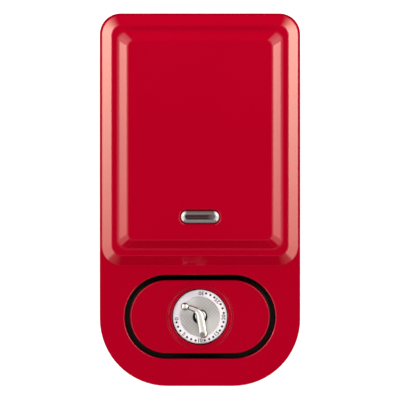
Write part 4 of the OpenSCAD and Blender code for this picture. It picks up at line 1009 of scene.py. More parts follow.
# x, y, height and radius along the lever, from the ground end to the ball
LEVER = [(2.25, -11.1, -0.1, 2.95), (2.0, -9.4, -0.1, 2.85), (1.1, -4.6, 0, 2.8),
         (0.35, -0.8, 0, 2.8), (-3.3, 4.95, 0, 1.95), (-5.4, 5.9, 0, 1.85),
         (-7.2, 6.5, -0.05, 1.75), (-7.8, 6.65, -0.1, 1.15)]
BEND = (0.1, 3.6, 0, 2.5)
BALL, BALL_R = Vector((-10.05, 7.05, -0.15)), 2.7
CUT_WAY = Vector((-0.3, -0.16, 0.94)).normalized()
CUT_AT = Vector(LEVER[0][:3]) + CUT_WAY * 2.2
GROUND_Y = -7                       # only what lies in front of this is ground
HUB_H, HUB_LEAN, HUB_BORE = 5.6, Vector((0.6, 1.4, 0)), 2.02


def sweep(path, sides=32):
    """A tube through points with radii, with half-round ends."""
    points = [Vector(p[:3]) for p in path]
    outlines = []
    for i, (p, r) in enumerate(zip(points, [p[3] for p in path])):
        along = (points[min(i + 1, len(points) - 1)] - points[max(i - 1, 0)]).normalized()
        side = along.cross(Vector((0, 0, 1))).normalized()
        up = side.cross(along)
        steps = [0.0] if 0 < i < len(points) - 1 else [k * math.pi / 20 for k in range(10)]
        if i == 0:
            steps = [-s for s in reversed(steps)]
        for s in steps:
            centre, small = p + along * r * math.sin(s), r * math.cos(s)
            outlines.append([centre + small * (math.cos(a) * side + math.sin(a) * up)
                             for a in [2 * math.pi * k / sides for k in range(sides)]])
    return solid(outlines)


def bend(start, corner, end, steps=14):
    """Points with radii round a bend, a Bezier curve of three points."""
    a, m, b = (Vector(p) for p in (start, corner, end))
    return [a * (1 - t) ** 2 + m * 2 * t * (1 - t) + b * t * t
            for t in [k / steps for k in range(steps + 1)]]


print("the lever's arms lie at", round(ARM_Z, 2), "mm")

# %% The lever, and the plug and the washer that paint its tip's reflection and the hub's shade
def draw_lever():
    bm = sweep([*LEVER[:3], *bend(LEVER[3], BEND, LEVER[4]), *LEVER[5:]])
    for v in bm.verts:
        proud = (v.co - CUT_AT).dot(CUT_WAY)
        if proud > 0 and v.co.y < GROUND_Y:
            v.co -= CUT_WAY * proud
    turn = [math.radians(-90 + 7.5 * k) for k in range(25)]
    ball = [(BALL_R * math.cos(a), BALL.z + BALL_R * math.sin(a)) for a in turn]
    lathe([(0, ball[0][1])] + ball[1:-1] + [(0, ball[-1][1])], BALL.to_2d(), 48, bm)
    foot = FACE_Z - ARM_Z
    hub = lathe(soft_path((HUB_BORE, foot + 3.2, 0), (HUB_BORE, foot + 0.3, 0),
                          (3.2, foot + 0.3, 0.3), (3.7, foot + 4.8, 1.2),
                          (0, foot + HUB_H, 0), steps=8), count=64)
    for v in hub.verts:
        v.co += HUB_LEAN * ((v.co.z - foot) / HUB_H) ** 2
    absorb(bm, plain_mesh(hub, "hub"))
    bmesh.ops.translate(bm, verts=bm.verts, vec=(*TIMER, ARM_Z))
    return bm


finish_piece("winding_lever", draw_lever(), "satin_chrome", "timer_spindle",
             replaces=["timer_lever"], even=False, outward=True)

# painted reflection: a grey plug on the ground tip, where the flat mirrors a dark grey
reflection_plug = lathe([(0, -0.4), (1.75, -0.4), (1.75, 0.05), (1.6, 0.15), (1.2, 0.2), (0, 0.24)],
             count=40)
seat = Matrix.Translation(CUT_AT + Vector((*TIMER, ARM_Z)))
bmesh.ops.transform(reflection_plug, verts=reflection_plug.verts,
                    matrix=seat @ CUT_WAY.to_track_quat("Z", "Y").to_matrix().to_4x4())
finish_piece("lever_plug", reflection_plug, "grey_plug_painting_reflection", "timer_spindle", outward=True)

# a rubber washer round the hub, and also painted shade: it darkens the hub's foot
WASHER_R, WASHER_TOP = 4.9, FACE_Z + 0.5
washer = soft_path((HUB_BORE, FACE_Z, 0), (WASHER_R, FACE_Z, 0.1),
                   (WASHER_R, WASHER_TOP, 0.15), (HUB_BORE, WASHER_TOP, 0))
finish_piece("dial_washer", lathe(washer, TIMER, 64), "rubber", "timer_spindle")

# %% [markdown]
# ## The pilot lamp
# A chromed ring with a long window sits in a shallow recess of the lid. Its outer face falls
# away, so its two round ends catch the light from the sides. The window is a ridged,
# smoked lens.

# %% The lamp's bezel and lens
bezel_hi = mm_box("lamp_bezel")[1]
bezel_foot, bezel_seat, lens_top = TOP_Z - 2.9, SEAT_Z + 0.02, TOP_Z + 0.05
bezel = soft_path((-1.5, bezel_foot, 0), (-1.5, bezel_seat, 0), (0, bezel_seat, 0.06),
                  (0, TOP_Z - 0.72, 0.1), (-1.9, bezel_hi.z, 0.2),
                  (-2.45, bezel_hi.z - 0.25, 0.05), (-2.45, bezel_foot, 0))
finish_piece("lamp_ring", hoop(rings(bezel_ring, bezel)), "satin_chrome", "lid",
             replaces=["lamp_bezel"], even=False, outward=True)
lens = soft_path((-2.5, TOP_Z - 3.2, 0), (-2.5, lens_top, 0.1), (-3.3, lens_top + 0.2, 0))
finish_piece("lamp_window", solid(rings(bezel_ring, lens)), "lens", "lid",
             replaces=["lamp_lens"])

# %% [markdown]
# ## Repeated pieces with Geometry Nodes
# Screws, feet, bushes, ribs and springs are each drawn once and then repeated. Where they
# go is read from the frame: `solids_of` finds the box of every separate solid in a node.
# One tree puts a copy on each place and turns it the right way. Screws get a little random
# spin, since no two are driven in alike.

# %% The frame's places, and trees with named inputs
def copy_of(node):
    """A node's solids as a drawing in metres, with their loose triangles merged."""
    bm = bmesh.new()
    bm.from_mesh(frame["nodes"][node].data)
    weld(bm, 1e-6)
    return bm


def solids_of(node):
    """The box of each separate solid of a node, in millimetres, sorted by place."""
    bm = copy_of(node)
    left, boxes = set(bm.verts), []
    while left:
        queue = [left.pop()]
        points = []
        while queue:
            v = queue.pop()
            points.append(v.co * 1000)
            near = {e.other_vert(v) for e in v.link_edges} & left
            left -= near
            queue += near
        boxes.append(box_of(points))
    bm.free()
    return sorted(boxes, key=lambda box: tuple(round(v, 2) for v in box[0]))


def box_of(points):
    return tuple(Vector([pick(p[k] for p in points) for k in range(3)]) for pick in (min, max))


def new_tree(name, **inputs):
    """A Geometry Nodes tree. Returns its bench and its inputs by name."""
    tree = bpy.data.node_groups.new(name, "GeometryNodeTree")
    tree.interface.new_socket("Geometry", in_out="OUTPUT", socket_type="NodeSocketGeometry")
    for label, kind in inputs.items():
        tree.interface.new_socket(label, in_out="INPUT", socket_type="NodeSocket" + kind)
    source = tree.nodes.new("NodeGroupInput")
    bench = Bench(tree)
    return bench, {label: Knob(bench, source.outputs[label]) for label in inputs}


def end_tree(bench, shape, finish):
    real = bench.put("GeometryNodeRealizeInstances", {"Geometry": shape})
    dressed = bench.put("GeometryNodeSetMaterial", {"Geometry": real, "Material": finish})
    bench.put("NodeGroupOutput", {"Geometry": dressed})
    return bench.tree


def grow(tree, mesh, finish, **values):
    """Run a tree on a mesh, which is used up, and return the result as a plain mesh."""
    values["Finish"] = finishes[finish]
    obj = put_in_scene("grown", mesh)
    modifier = obj.modifiers.new("tree", "NODES")
    modifier.node_group = tree
    for item in tree.interface.items_tree:
        if item.in_out == "INPUT" and item.name in values:
            modifier[item.identifier] = values[item.name]
    result = shape_of(obj)
    obj.modifiers.remove(modifier)
    clear_away(obj)
    return result


def path_mesh(points):
    """Points in millimetres, joined in a line, as a mesh in metres."""
    mesh = bpy.data.meshes.new("path")
    edges = [(i, i + 1) for i in range(len(points) - 1)]
    mesh.from_pydata([Vector(p) * 0.001 for p in points], edges, [])
    return mesh


print("cover screws:", [[round(v) for v in middle(*box)] for box in solids_of("cover_screws")])

# %% The tree that repeats a piece
def copies_tree():
    bench, given = new_tree("copies", Places="Geometry", Part="Object", Turn="Vector",
                            Spin="Float", Seed="Int", Finish="Material")
    part = bench.put("GeometryNodeObjectInfo", {"Object": given["Part"]}, "Geometry")
    laid = bench.put("GeometryNodeInstanceOnPoints",
                     {"Points": given["Places"], "Instance": part, "Rotation": given["Turn"]})
    spin = bench.put("FunctionNodeRandomValue",
                     {2: 0.0, 3: given["Spin"], "Seed": given["Seed"]}, 1, data_type="FLOAT")
    about_z = bench.put("ShaderNodeCombineXYZ", {"Z": spin})
    spun = bench.put("GeometryNodeRotateInstances", {"Instances": laid, "Rotation": about_z})
    return end_tree(bench, spun, given["Finish"])


COPIES = copies_tree()
UPRIGHT, REARWARD, UPSIDE_DOWN = (0, 0, 0), (-math.pi / 2, 0, 0), (math.pi, 0, 0)


def repeat(name, part, places, finish, body, turn=UPRIGHT, spin=0.0, replaces=(), sharp=SHARP):
    """Draw a part once, in millimetres round the origin, and put it on every place."""
    if isinstance(part, bmesh.types.BMesh):
        to_metres(part)
        face_outwards(part)
        part = plain_mesh(part, "part")
    pattern = put_in_scene("part", part)
    made = grow(COPIES, path_mesh(places), finish, Part=pattern, Turn=turn, Spin=spin, Seed=7)
    clear_away(pattern)
    finish_piece(name, gather(made), finish, body, replaces, sharp, metres=True)


print("sockets of the tree:", ", ".join(item.name for item in COPIES.interface.items_tree))

# %% [markdown]
# ## Screws
# All screws are pan heads with a cross recess, in two sizes. The recess is cut out of the
# head with a Boolean, and the thread is turned as a row of ridges. Screws seat from above
# or from below, so the head's seat is found from the top or the bottom of the solid's box.

# %% Screws
PITCH, TOOTH = 0.45, 0.22           # of the thread
ARM, REACH, DEPTH = 0.38, 0.58, 0.62    # the recess, as shares of the head's height or radius


def draw_screw(head_r, head_h, shank_r, length):
    """A screw whose head sits on z = 0 and points up."""
    thread = [(shank_r - TOOTH * (i % 2), -length + 0.5 + i * PITCH)
              for i in range(int((length - 1) / PITCH))]
    dome = soft_path((head_r, 0, 0), (head_r, head_h * 0.55, head_h * 0.3),
                     (head_r * 0.55, head_h, head_h * 0.6), (0, head_h, 0))
    screw = lathe([(0, -length), (shank_r * 0.6, -length)] + thread + [(shank_r, 0)] + dome,
                  count=32)
    arm, reach = head_h * ARM, head_r * REACH
    cross = [solid([[(sx * wide * k, sy * long * k, z)
                     for sx, sy in ((1, 1), (-1, 1), (-1, -1), (1, -1))]
                    for k, z in ((0.45, head_h * (1 - DEPTH)), (1, head_h), (1.05, head_h + 1))])
             for wide, long in ((arm, reach), (reach, arm))]
    return cut_away(screw, *cross)


BIG, SMALL = (2.9, 1.6, 1.5), (2.3, 1.0, 1.2)     # head's radius and height, shank's radius
# node: body, size, and whether the head points down
SCREWS = {"cover_screws": ("base", BIG, True), "base_frame_screws": ("base", BIG, False),
          "lid_frame_screws": ("lid", BIG, True), "keeper_screws": ("base", SMALL, False),
          "console_screws": ("base", SMALL, True), "timer_screws": ("base", SMALL, False),
          "handle_screws": ("lid", BIG, True)}
for node, (body, (head_r, head_h, shank_r), down) in SCREWS.items():
    boxes = solids_of(node)
    lo, hi = boxes[0]
    seat = lo.z + head_h if down else hi.z - head_h
    places = [(*middle(*box)[:2], seat) for box in boxes]
    repeat("set_of_" + node, draw_screw(head_r, head_h, shank_r, hi.z - lo.z - head_h), places,
           "screw_steel", body, UPSIDE_DOWN if down else UPRIGHT, 1.5, [node])

# %% [markdown]
# ## Feet and bushes
# A foot is a turned rubber button with two grip rings. Its stem is pushed through the
# bottom cover. The heater's ends sit in glazed ceramic bushes that point along the press.

# %% Feet and bushes
foot = soft_path((0, 0.7, 0), (3.4, 0.7, 0.1), (3.4, 0.35, 0.1), (4.2, 0.35, 0.1),
                 (4.2, 0.7, 0.1), (5.6, 0.7, 0.1), (5.6, 0, 0.15), (6.8, 0, 0.5), (8, 4, 0.4),
                 (3, 4, 0), (3, 6.6, 0.5), (0, 6.6, 0), steps=3)
places = [(*middle(*box)[:2], box[0].z) for box in solids_of("rubber_feet")]
repeat("feet", lathe(foot, count=48), places, "rubber", "base", replaces=["rubber_feet"])

HALVES = (("lower", "base"), ("upper", "lid"))
BUSH_BORE, BUSH_R, BRIM_H = 3.35, 4.95, 1.8
for half, body in HALVES:
    node = half + "_heater_bushes"
    boxes = solids_of(node)
    brim, end = (boxes[0][1].x - boxes[0][0].x) / 2, boxes[0][1].y - boxes[0][0].y
    bush = soft_path((BUSH_BORE, 0, 0), (brim, 0, 0.4), (brim, BRIM_H, 0.4),
                     (BUSH_R, BRIM_H, 0.2), (BUSH_R, end, 0.5), (BUSH_BORE, end, 0))
    places = [(middle(*box)[0], box[0].y, middle(*box)[2]) for box in boxes]
    repeat("glazed_" + node, lathe(bush, count=48), places, "ceramic", body, REARWARD,
           replaces=[node])

# %% [markdown]
# ## Heaters and leads
# A heater is one steel tube bent into a double hairpin, and a lead is a sleeve that finds
# its own soft way. Both are a round section swept along a path. The tree for the heater
# rounds the corners of its path to a bending radius, and the tree for the leads flows
# through its points. The sweep stores how far along and how far round each point lies.

# %% Trees that sweep a tube
def swept(bench, curve, section):
    return bench.put("GeometryNodeCurveToMesh",
                     {"Curve": curve, "Profile Curve": section, "Fill Caps": True})


def tube_tree(name, flowing):
    bench, given = new_tree(name, Path="Geometry", Radius="Float", Bend="Float", Step="Float",
                            Sides="Int", Finish="Material")
    curve = bench.put("GeometryNodeMeshToCurve", {"Mesh": given["Path"]})
    if flowing:
        curve = bench.put("GeometryNodeCurveSplineType", {"Curve": curve},
                          spline_type="CATMULL_ROM")
        curve = bench.put("GeometryNodeResampleCurve",
                          {"Curve": curve, "Length": given["Step"]}, mode="LENGTH")
    else:
        curve = bench.put("GeometryNodeFilletCurve",
                          {"Curve": curve, "Count": 18, "Radius": given["Bend"]}, mode="POLY")
    section = bench.put("GeometryNodeCurvePrimitiveCircle",
                        {"Resolution": given["Sides"], "Radius": given["Radius"]})
    share = bench.put("GeometryNodeSplineParameter")
    angle = share * (2 * math.pi * STRANDS)
    around = bench.put("ShaderNodeCombineXYZ", {"X": angle.math("COSINE"), "Y": angle.math("SINE")})

    def store(shape, name, value, kind):
        return bench.put("GeometryNodeStoreNamedAttribute",
                         {"Geometry": shape, "Name": name, "Value": value}, data_type=kind)

    section = store(section, "around", around, "FLOAT_VECTOR")
    curve = store(curve, "along", share.other("Length"), "FLOAT")
    return end_tree(bench, swept(bench, curve, section), given["Finish"])


BENT, FLOWING = tube_tree("bent_tube", False), tube_tree("flowing_tube", True)
print("two trees ready")

# %% Heaters and leads
HAIRPIN_BEND, INNER_X = 12.5, 13
COLD_END, TURN_BACK = 4.5, 21.1     # from the front: the hot tube's start, and its inner turn
PIN_R, LEAD_R = 1.32, 1.1
# the routes of the leads, the same as in the solids
LEADS = [[(-38, 80.46, 12), (-38, 72.5, 12), (-44, 49.75, 12), (-50, 9.75, 12), (-50, -30, 12),
          (-48, -44, 15), (-42, -48, 22.4), (-39, -45.5, 27.8), (-38, -42.7, 31.05),
          (-38, -41.54, 31.05)],
         [(38, -41.54, 31.05), (38, -42.7, 31.05), (39, -45.5, 27.8), (40, -51, 22.4),
          (30, -57, 18.4), (8, -64.3, 18.4), (-20, -71.3, 22.4), (-36, -77.3, 32.4),
          (-37, -79.3, 46.5), (-35, -80.5, 57.5), (-32.5, -80.5, 61.9), (-30.04, -80.5, 62.2)]]


def bent(points, r, bend_r=0, sides=24):
    return grow(BENT, path_mesh(points), "heater_steel", Radius=r / 1000, Bend=bend_r / 1000,
                Sides=sides)


def draw_heater(node):
    """The double hairpin, with its two cold pins."""
    lo, hi = mm_box(node)
    r = (hi.z - lo.z) / 2
    x, z = hi.x - r, (lo.z + hi.z) / 2
    rear, start, back = hi.y - r, lo.y + COLD_END, lo.y + TURN_BACK
    half = [(x, start, z), (x, rear, z), (INNER_X, rear, z), (INNER_X, back, z)]
    tube = bent(half + [(-x, y, z) for x, y, z in half[::-1]], r, HAIRPIN_BEND)
    pins = [bent([(side, lo.y, z), (side, start + 1, z)], PIN_R, sides=16) for side in (x, -x)]
    return gather(tube, *pins)


for half, body in HALVES:
    node = half + "_heater"
    finish_piece("tube_of_" + node, draw_heater(node), "heater_steel", body, replaces=[node],
                 metres=True)
leads = [grow(FLOWING, path_mesh(points), "lead_sleeve", Radius=LEAD_R / 1000, Step=0.0008,
              Sides=24) for points in LEADS]
finish_piece("sleeved_leads", gather(*leads), "lead_sleeve", "base", replaces=["mains_leads"],
             metres=True)

# %% [markdown]
# ## Springs
# The catches are pushed out by coil springs. A coil is a wire swept along a spiral that
# climbs, so a tree needs only its turns, its radius, its height and its wire.

# %% Springs
WIRE, TURNS = 0.2, 7.5


def coil_tree():
    bench, given = new_tree("coil", Turns="Float", Radius="Float", Height="Float", Wire="Float",
                            Finish="Material")
    spiral = bench.put("GeometryNodeCurveSpiral",
                       {"Resolution": 40, "Rotations": given["Turns"], "Reverse": False,
                        "Start Radius": given["Radius"], "End Radius": given["Radius"],
                        "Height": given["Height"]})
    spiral = bench.put("GeometryNodeSetCurveNormal", {"Curve": spiral}, mode="Z_UP")
    section = bench.put("GeometryNodeCurvePrimitiveCircle",
                        {"Resolution": 10, "Radius": given["Wire"]})
    return end_tree(bench, swept(bench, spiral, section), given["Finish"])


COIL = coil_tree()
for half, body in HALVES:
    node = half + "_catch_spring"
    lo, hi = box_of([corner for box in solids_of(node) for corner in box])
    coil_r = (hi.z - lo.z) / 2 - WIRE
    coil = grow(COIL, bpy.data.meshes.new("none"), "spring_steel", Turns=TURNS,
                Radius=coil_r / 1000, Height=(hi.y - lo.y - 2 * WIRE) / 1000, Wire=WIRE / 1000)
    across = (hi.x - lo.x) / 2 - coil_r - WIRE
    places = [(x, lo.y + WIRE, (lo.z + hi.z) / 2) for x in (-across, across)]
    repeat("coils_of_" + node, coil, places, "spring_steel", body, REARWARD, replaces=[node],
           sharp=60)

# %% [markdown]
# ## The plates
# The two toasting plates are cast dishes with a flange. They are lofted from rings like the
# lid, because a casting has drafted walls and a radius in every corner. The press marks its
# toast with ribs, which are one loft repeated on a row of places. The upper plate is the
# lower one mirrored about the plane where the two meet.

# %% The plates and their ribs
PARTING = lid_lo.z - 0.5          # where base and lid meet
plate_lo, plate_hi = mm_box("lower_plate")
PLATE_W, PLATE_L = plate_hi.x - plate_lo.x, plate_hi.y - plate_lo.y
PLATE_MID = (plate_lo.y + plate_hi.y) / 2
FLANGE_Z, DISH_Z = plate_hi.z - 2.2, plate_lo.z + 2.5
RIB_GAP, RIB_COUNT, RIB_L, RIB_W, RIB_H = 15.75, 7, 87, 3, 1.2
# half widths of the front tongue and the rear hooks, the hooks' place and their thickness
TONGUE, HOOK, HOOK_X, THICK = 6, 4.5, 32, 2


def plate_ring(inset, r, z):
    return rounded(PLATE_W - 2 * inset, PLATE_L - 2 * inset, r, r, PLATE_MID, z)


def draw_plate():
    foot, top = plate_lo.z, plate_hi.z
    path = soft_path((11.5, 4.5, foot, 0), (9, 7, foot, 1.6), (6, 10, FLANGE_Z, 0.5),
                     (0, 8, FLANGE_Z, 0.4), (0, 8, top, 0.6), (8.5, 8.75, top, 1.4),
                     (11.5, 5.75, DISH_Z, 2.2), (14, 4, DISH_Z, 0))
    bm = solid(rings(plate_ring, path))
    z = FLANGE_Z - 6.75
    block(bm, (-TONGUE, plate_lo.y + 0.1, z), (TONGUE, plate_lo.y + 9.1, z + THICK), 0.5)
    z = FLANGE_Z - 3.45
    for x in (-HOOK_X, HOOK_X):
        block(bm, (x - HOOK, plate_hi.y - 9, z), (x + HOOK, plate_hi.y - 0.4, z + THICK), 0.5)
    return bm


def draw_rib():
    path = soft_path((RIB_W / 2, -0.3, 0), (RIB_W / 2, 0.12, 0.2), (RIB_W / 4, RIB_H, 0.4),
                     (RIB_W / 12, RIB_H, 0), steps=3)
    return solid([long_round(RIB_L - RIB_W + 2 * w, 2 * w, 0, z) for w, z in path])


def flipped(z):
    return 2 * PARTING - z


rib_rows = [PLATE_MID + RIB_GAP * (i - RIB_COUNT // 2) for i in range(RIB_COUNT)]
for half, body in HALVES:
    node, plate, floor, turn = half + "_plate", draw_plate(), DISH_Z, UPRIGHT
    if half == "upper":
        floor, turn = flipped(DISH_Z), UPSIDE_DOWN
        for v in plate.verts:
            v.co.z = flipped(v.co.z)
    finish_piece("cast_" + node, plate, "plate_coating", body, replaces=[node], outward=True)
    repeat("ribs_of_" + node, draw_rib(), [(0, y, floor) for y in rib_rows], "plate_coating",
           body, turn)

# %% [markdown]
# ## The cord's gland
# The gland is a turned, tapered sleeve of black plastic with grip rings. Its bore is open,
# with the smooth mouth that a cord needs.

# %% The gland
gland_lo, gland_hi = mm_box("cord_gland")
GLAND = middle(gland_lo, gland_hi)
GLAND[1] = 117.5                    # where it passes the wall
CORD_BORE, NECK_R, COLLAR_R, GLAND_OUT = 3.6, 5.1, 6.6, 6.3


def draw_gland():
    wide, back, out = (gland_hi.x - gland_lo.x) / 2, gland_lo.y - GLAND[1], GLAND_OUT
    grip = []
    for k in range(5):
        h = 1 + k * 0.95
        r = wide - 2 * (h / out)
        grip += [(r, h), (r - 0.4, h + 0.15), (r - 0.45, h + 0.55), (r - 0.2, h + 0.7)]
    bm = lathe([(CORD_BORE, back), (COLLAR_R, back), (COLLAR_R, back + 2.2), (NECK_R, back + 2.2),
                (NECK_R, 0.1), (wide, 0.1), *grip, (wide - 2, out - 0.3), (wide - 2.3, out),
                (CORD_BORE + 0.7, out), (CORD_BORE, out - 0.7)], count=64)
    for v in bm.verts:
        v.co = Vector((GLAND[0] + v.co.x, GLAND[1] + v.co.z, GLAND[2] - v.co.y))
    return bm


finish_piece("gland", draw_gland(), "black_moulding", "base", replaces=["cord_gland"],
             outward=True)

# %% [markdown]
# ## Softened edges
# No moulded or pressed part has a perfectly sharp edge, and a sharp edge shows no highlight.
# For pieces whose solid is right as it is, a copy is merged, its flat faces are joined, and
# a Bevel modifier rounds every edge that turns by more than thirty degrees. The area before
# and after tells whether a face was lost on the way.

# %% Softened copies
def skin_area(bm):
    """The area of a drawing, measured on triangles."""
    copy = bm.copy()
    bmesh.ops.triangulate(copy, faces=copy.faces)
    area = sum(face.calc_area() for face in copy.faces)
    copy.free()
    return area


def softened(node, width, finish, body, join=True):
    bm = copy_of(node)
    before = skin_area(bm)
    if join:
        bmesh.ops.dissolve_limit(bm, angle_limit=math.radians(1), verts=bm.verts, edges=bm.edges)
    obj = put_in_scene("soft", plain_mesh(bm, "soft"))
    modifier = obj.modifiers.new("bevel", "BEVEL")
    modifier.width, modifier.segments = width / 1000, 2
    modifier.limit_method, modifier.angle_limit = "ANGLE", math.radians(30)
    modifier.use_clamp_overlap = False
    result = gather(shape_of(obj))
    clear_away(obj)
    print("area kept:", round(skin_area(result) / before, 3))
    finish_piece("soft_" + node, result, finish, body, [node], metres=True, sharp=40)


# node, width of the rounding in millimetres, finish, body
SOFT = [("base_shell", 0.3, "red_gloss", "base", False),
        ("bottom_cover", 0.2, "black_moulding", "base"),
        ("base_frame", 0.15, "black_moulding", "base"),
        ("lid_frame", 0.2, "black_moulding", "lid"),
        ("handle_cover", 0.4, "black_moulding", "lid"),
        ("lid_latch", 0.2, "black_moulding", "lid_latch"),
        ("lower_catch", 0.25, "black_moulding", "lower_catch"),
        ("upper_catch", 0.25, "black_moulding", "upper_catch"),
        ("latch_keeper", 0.15, "steel", "base"), ("hinge_pins", 0.3, "steel", "base"),
        ("lower_reflector", 0.15, "tin_sheet", "base"),
        ("upper_reflector", 0.15, "tin_sheet", "lid"),
        ("terminal_block", 0.3, "ceramic", "base"), ("lamp_holder", 0.3, "black_moulding", "lid"),
        ("switch_block", 0.25, "black_moulding", "base"),
        ("timer_top_plate", 0.1, "brass", "base"), ("timer_bottom_plate", 0.1, "brass", "base")]
for row in SOFT:
    softened(*row)

# %% [markdown]
# The latch is pulled with a fingertip, so the lower end of its face has five fine ridges.

# %% The latch's grip
ridge = bmesh.new()
block(ridge, (-10, -0.45, -0.45), (10, 0.45, 0.45), 0.3)
RIDGE_GAP = 1.7
places = [(0, latch_lo.y, latch_lo.z + 2.2 + RIDGE_GAP * k) for k in range(5)]
repeat("latch_grip", ridge, places, "black_moulding", "lid_latch")

# %% [markdown]
# ## Finishes for the rest of the mechanism
# Every solid of the frame that is kept as it is gets the finish of its real counterpart.

# %% Which solid has which finish
wearing = {
    "steel": ["latch_pin", "timer_arbor", "timer_pillars", "timer_bell"],
    "tin_sheet": ["thermal_cutout"],
    "ceramic": ["switch_cam"],
    "brass": ["main_wheel", "second_wheel", "escape_wheel", "switch_leaf", "contact_leaf"],
    "spring_steel": ["mainspring"],
    "neon": ["neon_lamp"],
}
for finish, names in wearing.items():
    for name in names:
        slots = frame["nodes"][name].data.materials
        slots.clear()
        slots.append(finishes[finish])
print(sum(len(names) for names in wearing.values()), "solids dressed")

# %% [markdown]
# ## The room
# The press stands on a pale floor under soft studio light. What a polished shell shows is
# mostly what it mirrors, so the room's directions matter more than its lamps. The world is
# written as a function of the direction: long, warm soft boxes left and right near the
# horizon, which brighten towards the rear and then fade, and paler sheets above them. The
# front and rear horizons stay dark, and so does a patch straight above, because the flats
# mirror it. The floor glows towards the camera, which makes it white, but keeps the shadow.

# %% The floor
FLOOR_SIDE = 3           # metres


def pale(b, where):
    grain = b.noise(where, 4, 4.0)
    seen = b.put("ShaderNodeLightPath", out="Is Camera Ray")
    mirrored = seen.other("Is Glossy Ray").math("MAXIMUM", seen.other("Is Transmission Ray"))
    return {"Base Color": b.blend(grain, (0.88, 0.88, 0.88, 1), (0.9, 0.9, 0.9, 1)),
            "Roughness": 0.75 + grain * 0.1, "Emission Strength": seen * 0.7 + mirrored * 0.1}


mix_finish("pale_floor", {"Specular IOR Level": 0.0, "Emission Color": (1, 1, 1, 1)}, pale)
bm = bmesh.new()
bm.faces.new(lay(bm, rounded(FLOOR_SIDE, FLOOR_SIDE, 0.4, 0.4, 0, 0)))
floor = put_in_scene("floor", plain_mesh(bm, "floor"))
floor.data.materials.append(finishes["pale_floor"])
print("floor", FLOOR_SIDE, "m wide")

# %% [markdown]
# Directions are given by two angles: how high a direction points, and how far it turns from
# straight sideways, 0, towards the rear, 90, or the front, -90. Left and right are alike.
# What is mirrored a second time stays dark, so one slope doesn't draw a line in another.

# %% The world as a function of direction
SIDE_LIGHT = 4.3          # the soft boxes near the horizon
SIDE_RISE = 10            # how fast they brighten towards the rear, per radian
SIDE_START, SIDE_LEAST, SIDE_MOST = 0.73, 0.52, 1.4     # straight sideways, and its limits
SIDE_ABOVE = 1.0          # paler sheets above them
CORNERS = 0.8             # more of that light towards the rear corners
SKIRT = 0.45              # their glow on the way round to the front
AMBIENT = 0.12            # the rest of the room
WARM, PINK, WHITE = (1.0, 0.98, 0.8, 1), (1, 0.97, 0.97, 1), (1, 1, 1, 1)
ONE_MIRROR = 2.5          # ray depths above this come from a mirror seen in a mirror


def rise(angle, low, high):
    """0 below one angle in degrees, 1 above another."""
    return angle.step(math.radians(low), math.radians(high))


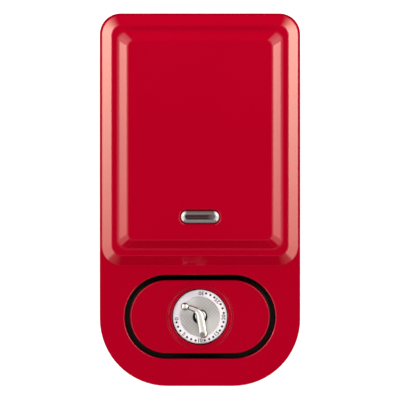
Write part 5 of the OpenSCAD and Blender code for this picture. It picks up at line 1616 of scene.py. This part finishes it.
def light_world():
    world = bpy.data.worlds.new("studio")
    bpy.context.scene.world = world
    world.use_nodes = True
    bench = Bench(world.node_tree)
    x, y, z = bench.parts(bench.put("ShaderNodeTexCoord"))
    up = z.math("ARCSINE")
    turn = y.math("ARCTAN2", x.math("ABSOLUTE"))
    sideways = rise(turn, -50, -38)
    fading = 1 - rise(turn, 20, 76)
    corners = rise(turn, 6, 20) * (1 - rise(turn, 60, 80))
    ramp = (turn * SIDE_RISE + SIDE_START).math("MAXIMUM", SIDE_LEAST).math("MINIMUM", SIDE_MOST)
    skirt = rise(turn, -90, -45) * (1 - sideways) * SKIRT
    higher = rise(up, 6, 13.5)
    low = rise(up, -12, -3) * (1 - higher)
    above = higher * (1 - rise(up, 13, 62))
    boxes = sideways * (fading * ramp * low * SIDE_LIGHT
                        + above * (fading * SIDE_ABOVE + corners * CORNERS))
    room = rise(up, 15, 35) * (1 - rise(up, 55, 68)) * (1 - rise(turn, 20, 60)) * AMBIENT
    seen = bench.put("ShaderNodeLightPath", out="Is Camera Ray")
    once = seen.other("Ray Depth").math("LESS_THAN", ONE_MIRROR)
    light = (boxes + skirt * low) * once + room
    tint = bench.blend(seen, bench.blend(low, PINK, WARM), WHITE)
    background = world.node_tree.nodes["Background"]
    bench.join(tint, background.inputs["Color"])
    bench.join(seen + (1 - seen) * light, background.inputs["Strength"])


light_world()
print("side light", SIDE_LIGHT, "- room", AMBIENT)

# %% [markdown]
# Two lamps give the slopes their depth: a strong one at the rear and a large, weaker one in
# front. They aren't mirrored, as if they hung behind polarising sheets, so they leave no
# white lines on the polished edges. The chrome and the dial need something bright above
# them to mirror, so four soft boxes are linked to single pieces, and nothing else sees them.
# They hang at different heights, because lamps in one plane hide each other.

# %% The lamps
def hang_lamp(name, place, size, watts, only=None, tint=(1, 1, 1)):
    """A rectangular lamp: a free one aims at the press, a linked one hangs level."""
    lamp = bpy.data.lights.new(name, "AREA")
    lamp.shape, lamp.size, lamp.size_y, lamp.energy = "RECTANGLE", *size, watts
    lamp.color = tint
    obj = put_in_scene(name, lamp)
    obj.location = place
    obj.visible_glossy, obj.visible_camera = bool(only), False
    if not only:
        aim = Vector((0, 0, 0.05)) - obj.location
        obj.rotation_euler = aim.to_track_quat("-Z", "Y").to_euler()
        return
    lamp.use_nodes = True
    bench = Bench(lamp.node_tree)
    first = bench.put("ShaderNodeLightPath").other("Ray Depth").math("LESS_THAN", ONE_MIRROR)
    bench.join(first, lamp.node_tree.nodes["Emission"].inputs["Strength"])
    group = bpy.data.collections.new(name + "_lights")
    group.objects.link(bpy.data.objects[only])
    obj.light_linking.receiver_collection = group


hang_lamp("key", (0, 0.65, 0.9), (0.6, 0.3), 7.2)
hang_lamp("fill", (0, -1.9, 1.15), (1.5, 0.7), 25)
hang_lamp("rear_sheen", (0, AXIS.y + 0.85, 1.06), (4, 2.3), 22, "winding_lever")
hang_lamp("front_sheen", (0, AXIS.y - 0.75, 1.09), (4, 0.9), 7, "winding_lever")
hang_lamp("dial_sheen", (0, AXIS.y, 1), (0.7, 0.7), 1.4, "dial_disc")
hang_lamp("lamp_sheen", (0, AXIS.y, 1.03), (4, 4), 11, "lamp_ring", (1, 0.84, 0.88))
bpy.context.scene.view_settings.view_transform = "Standard"
print(len(bpy.data.lights), "lamps")
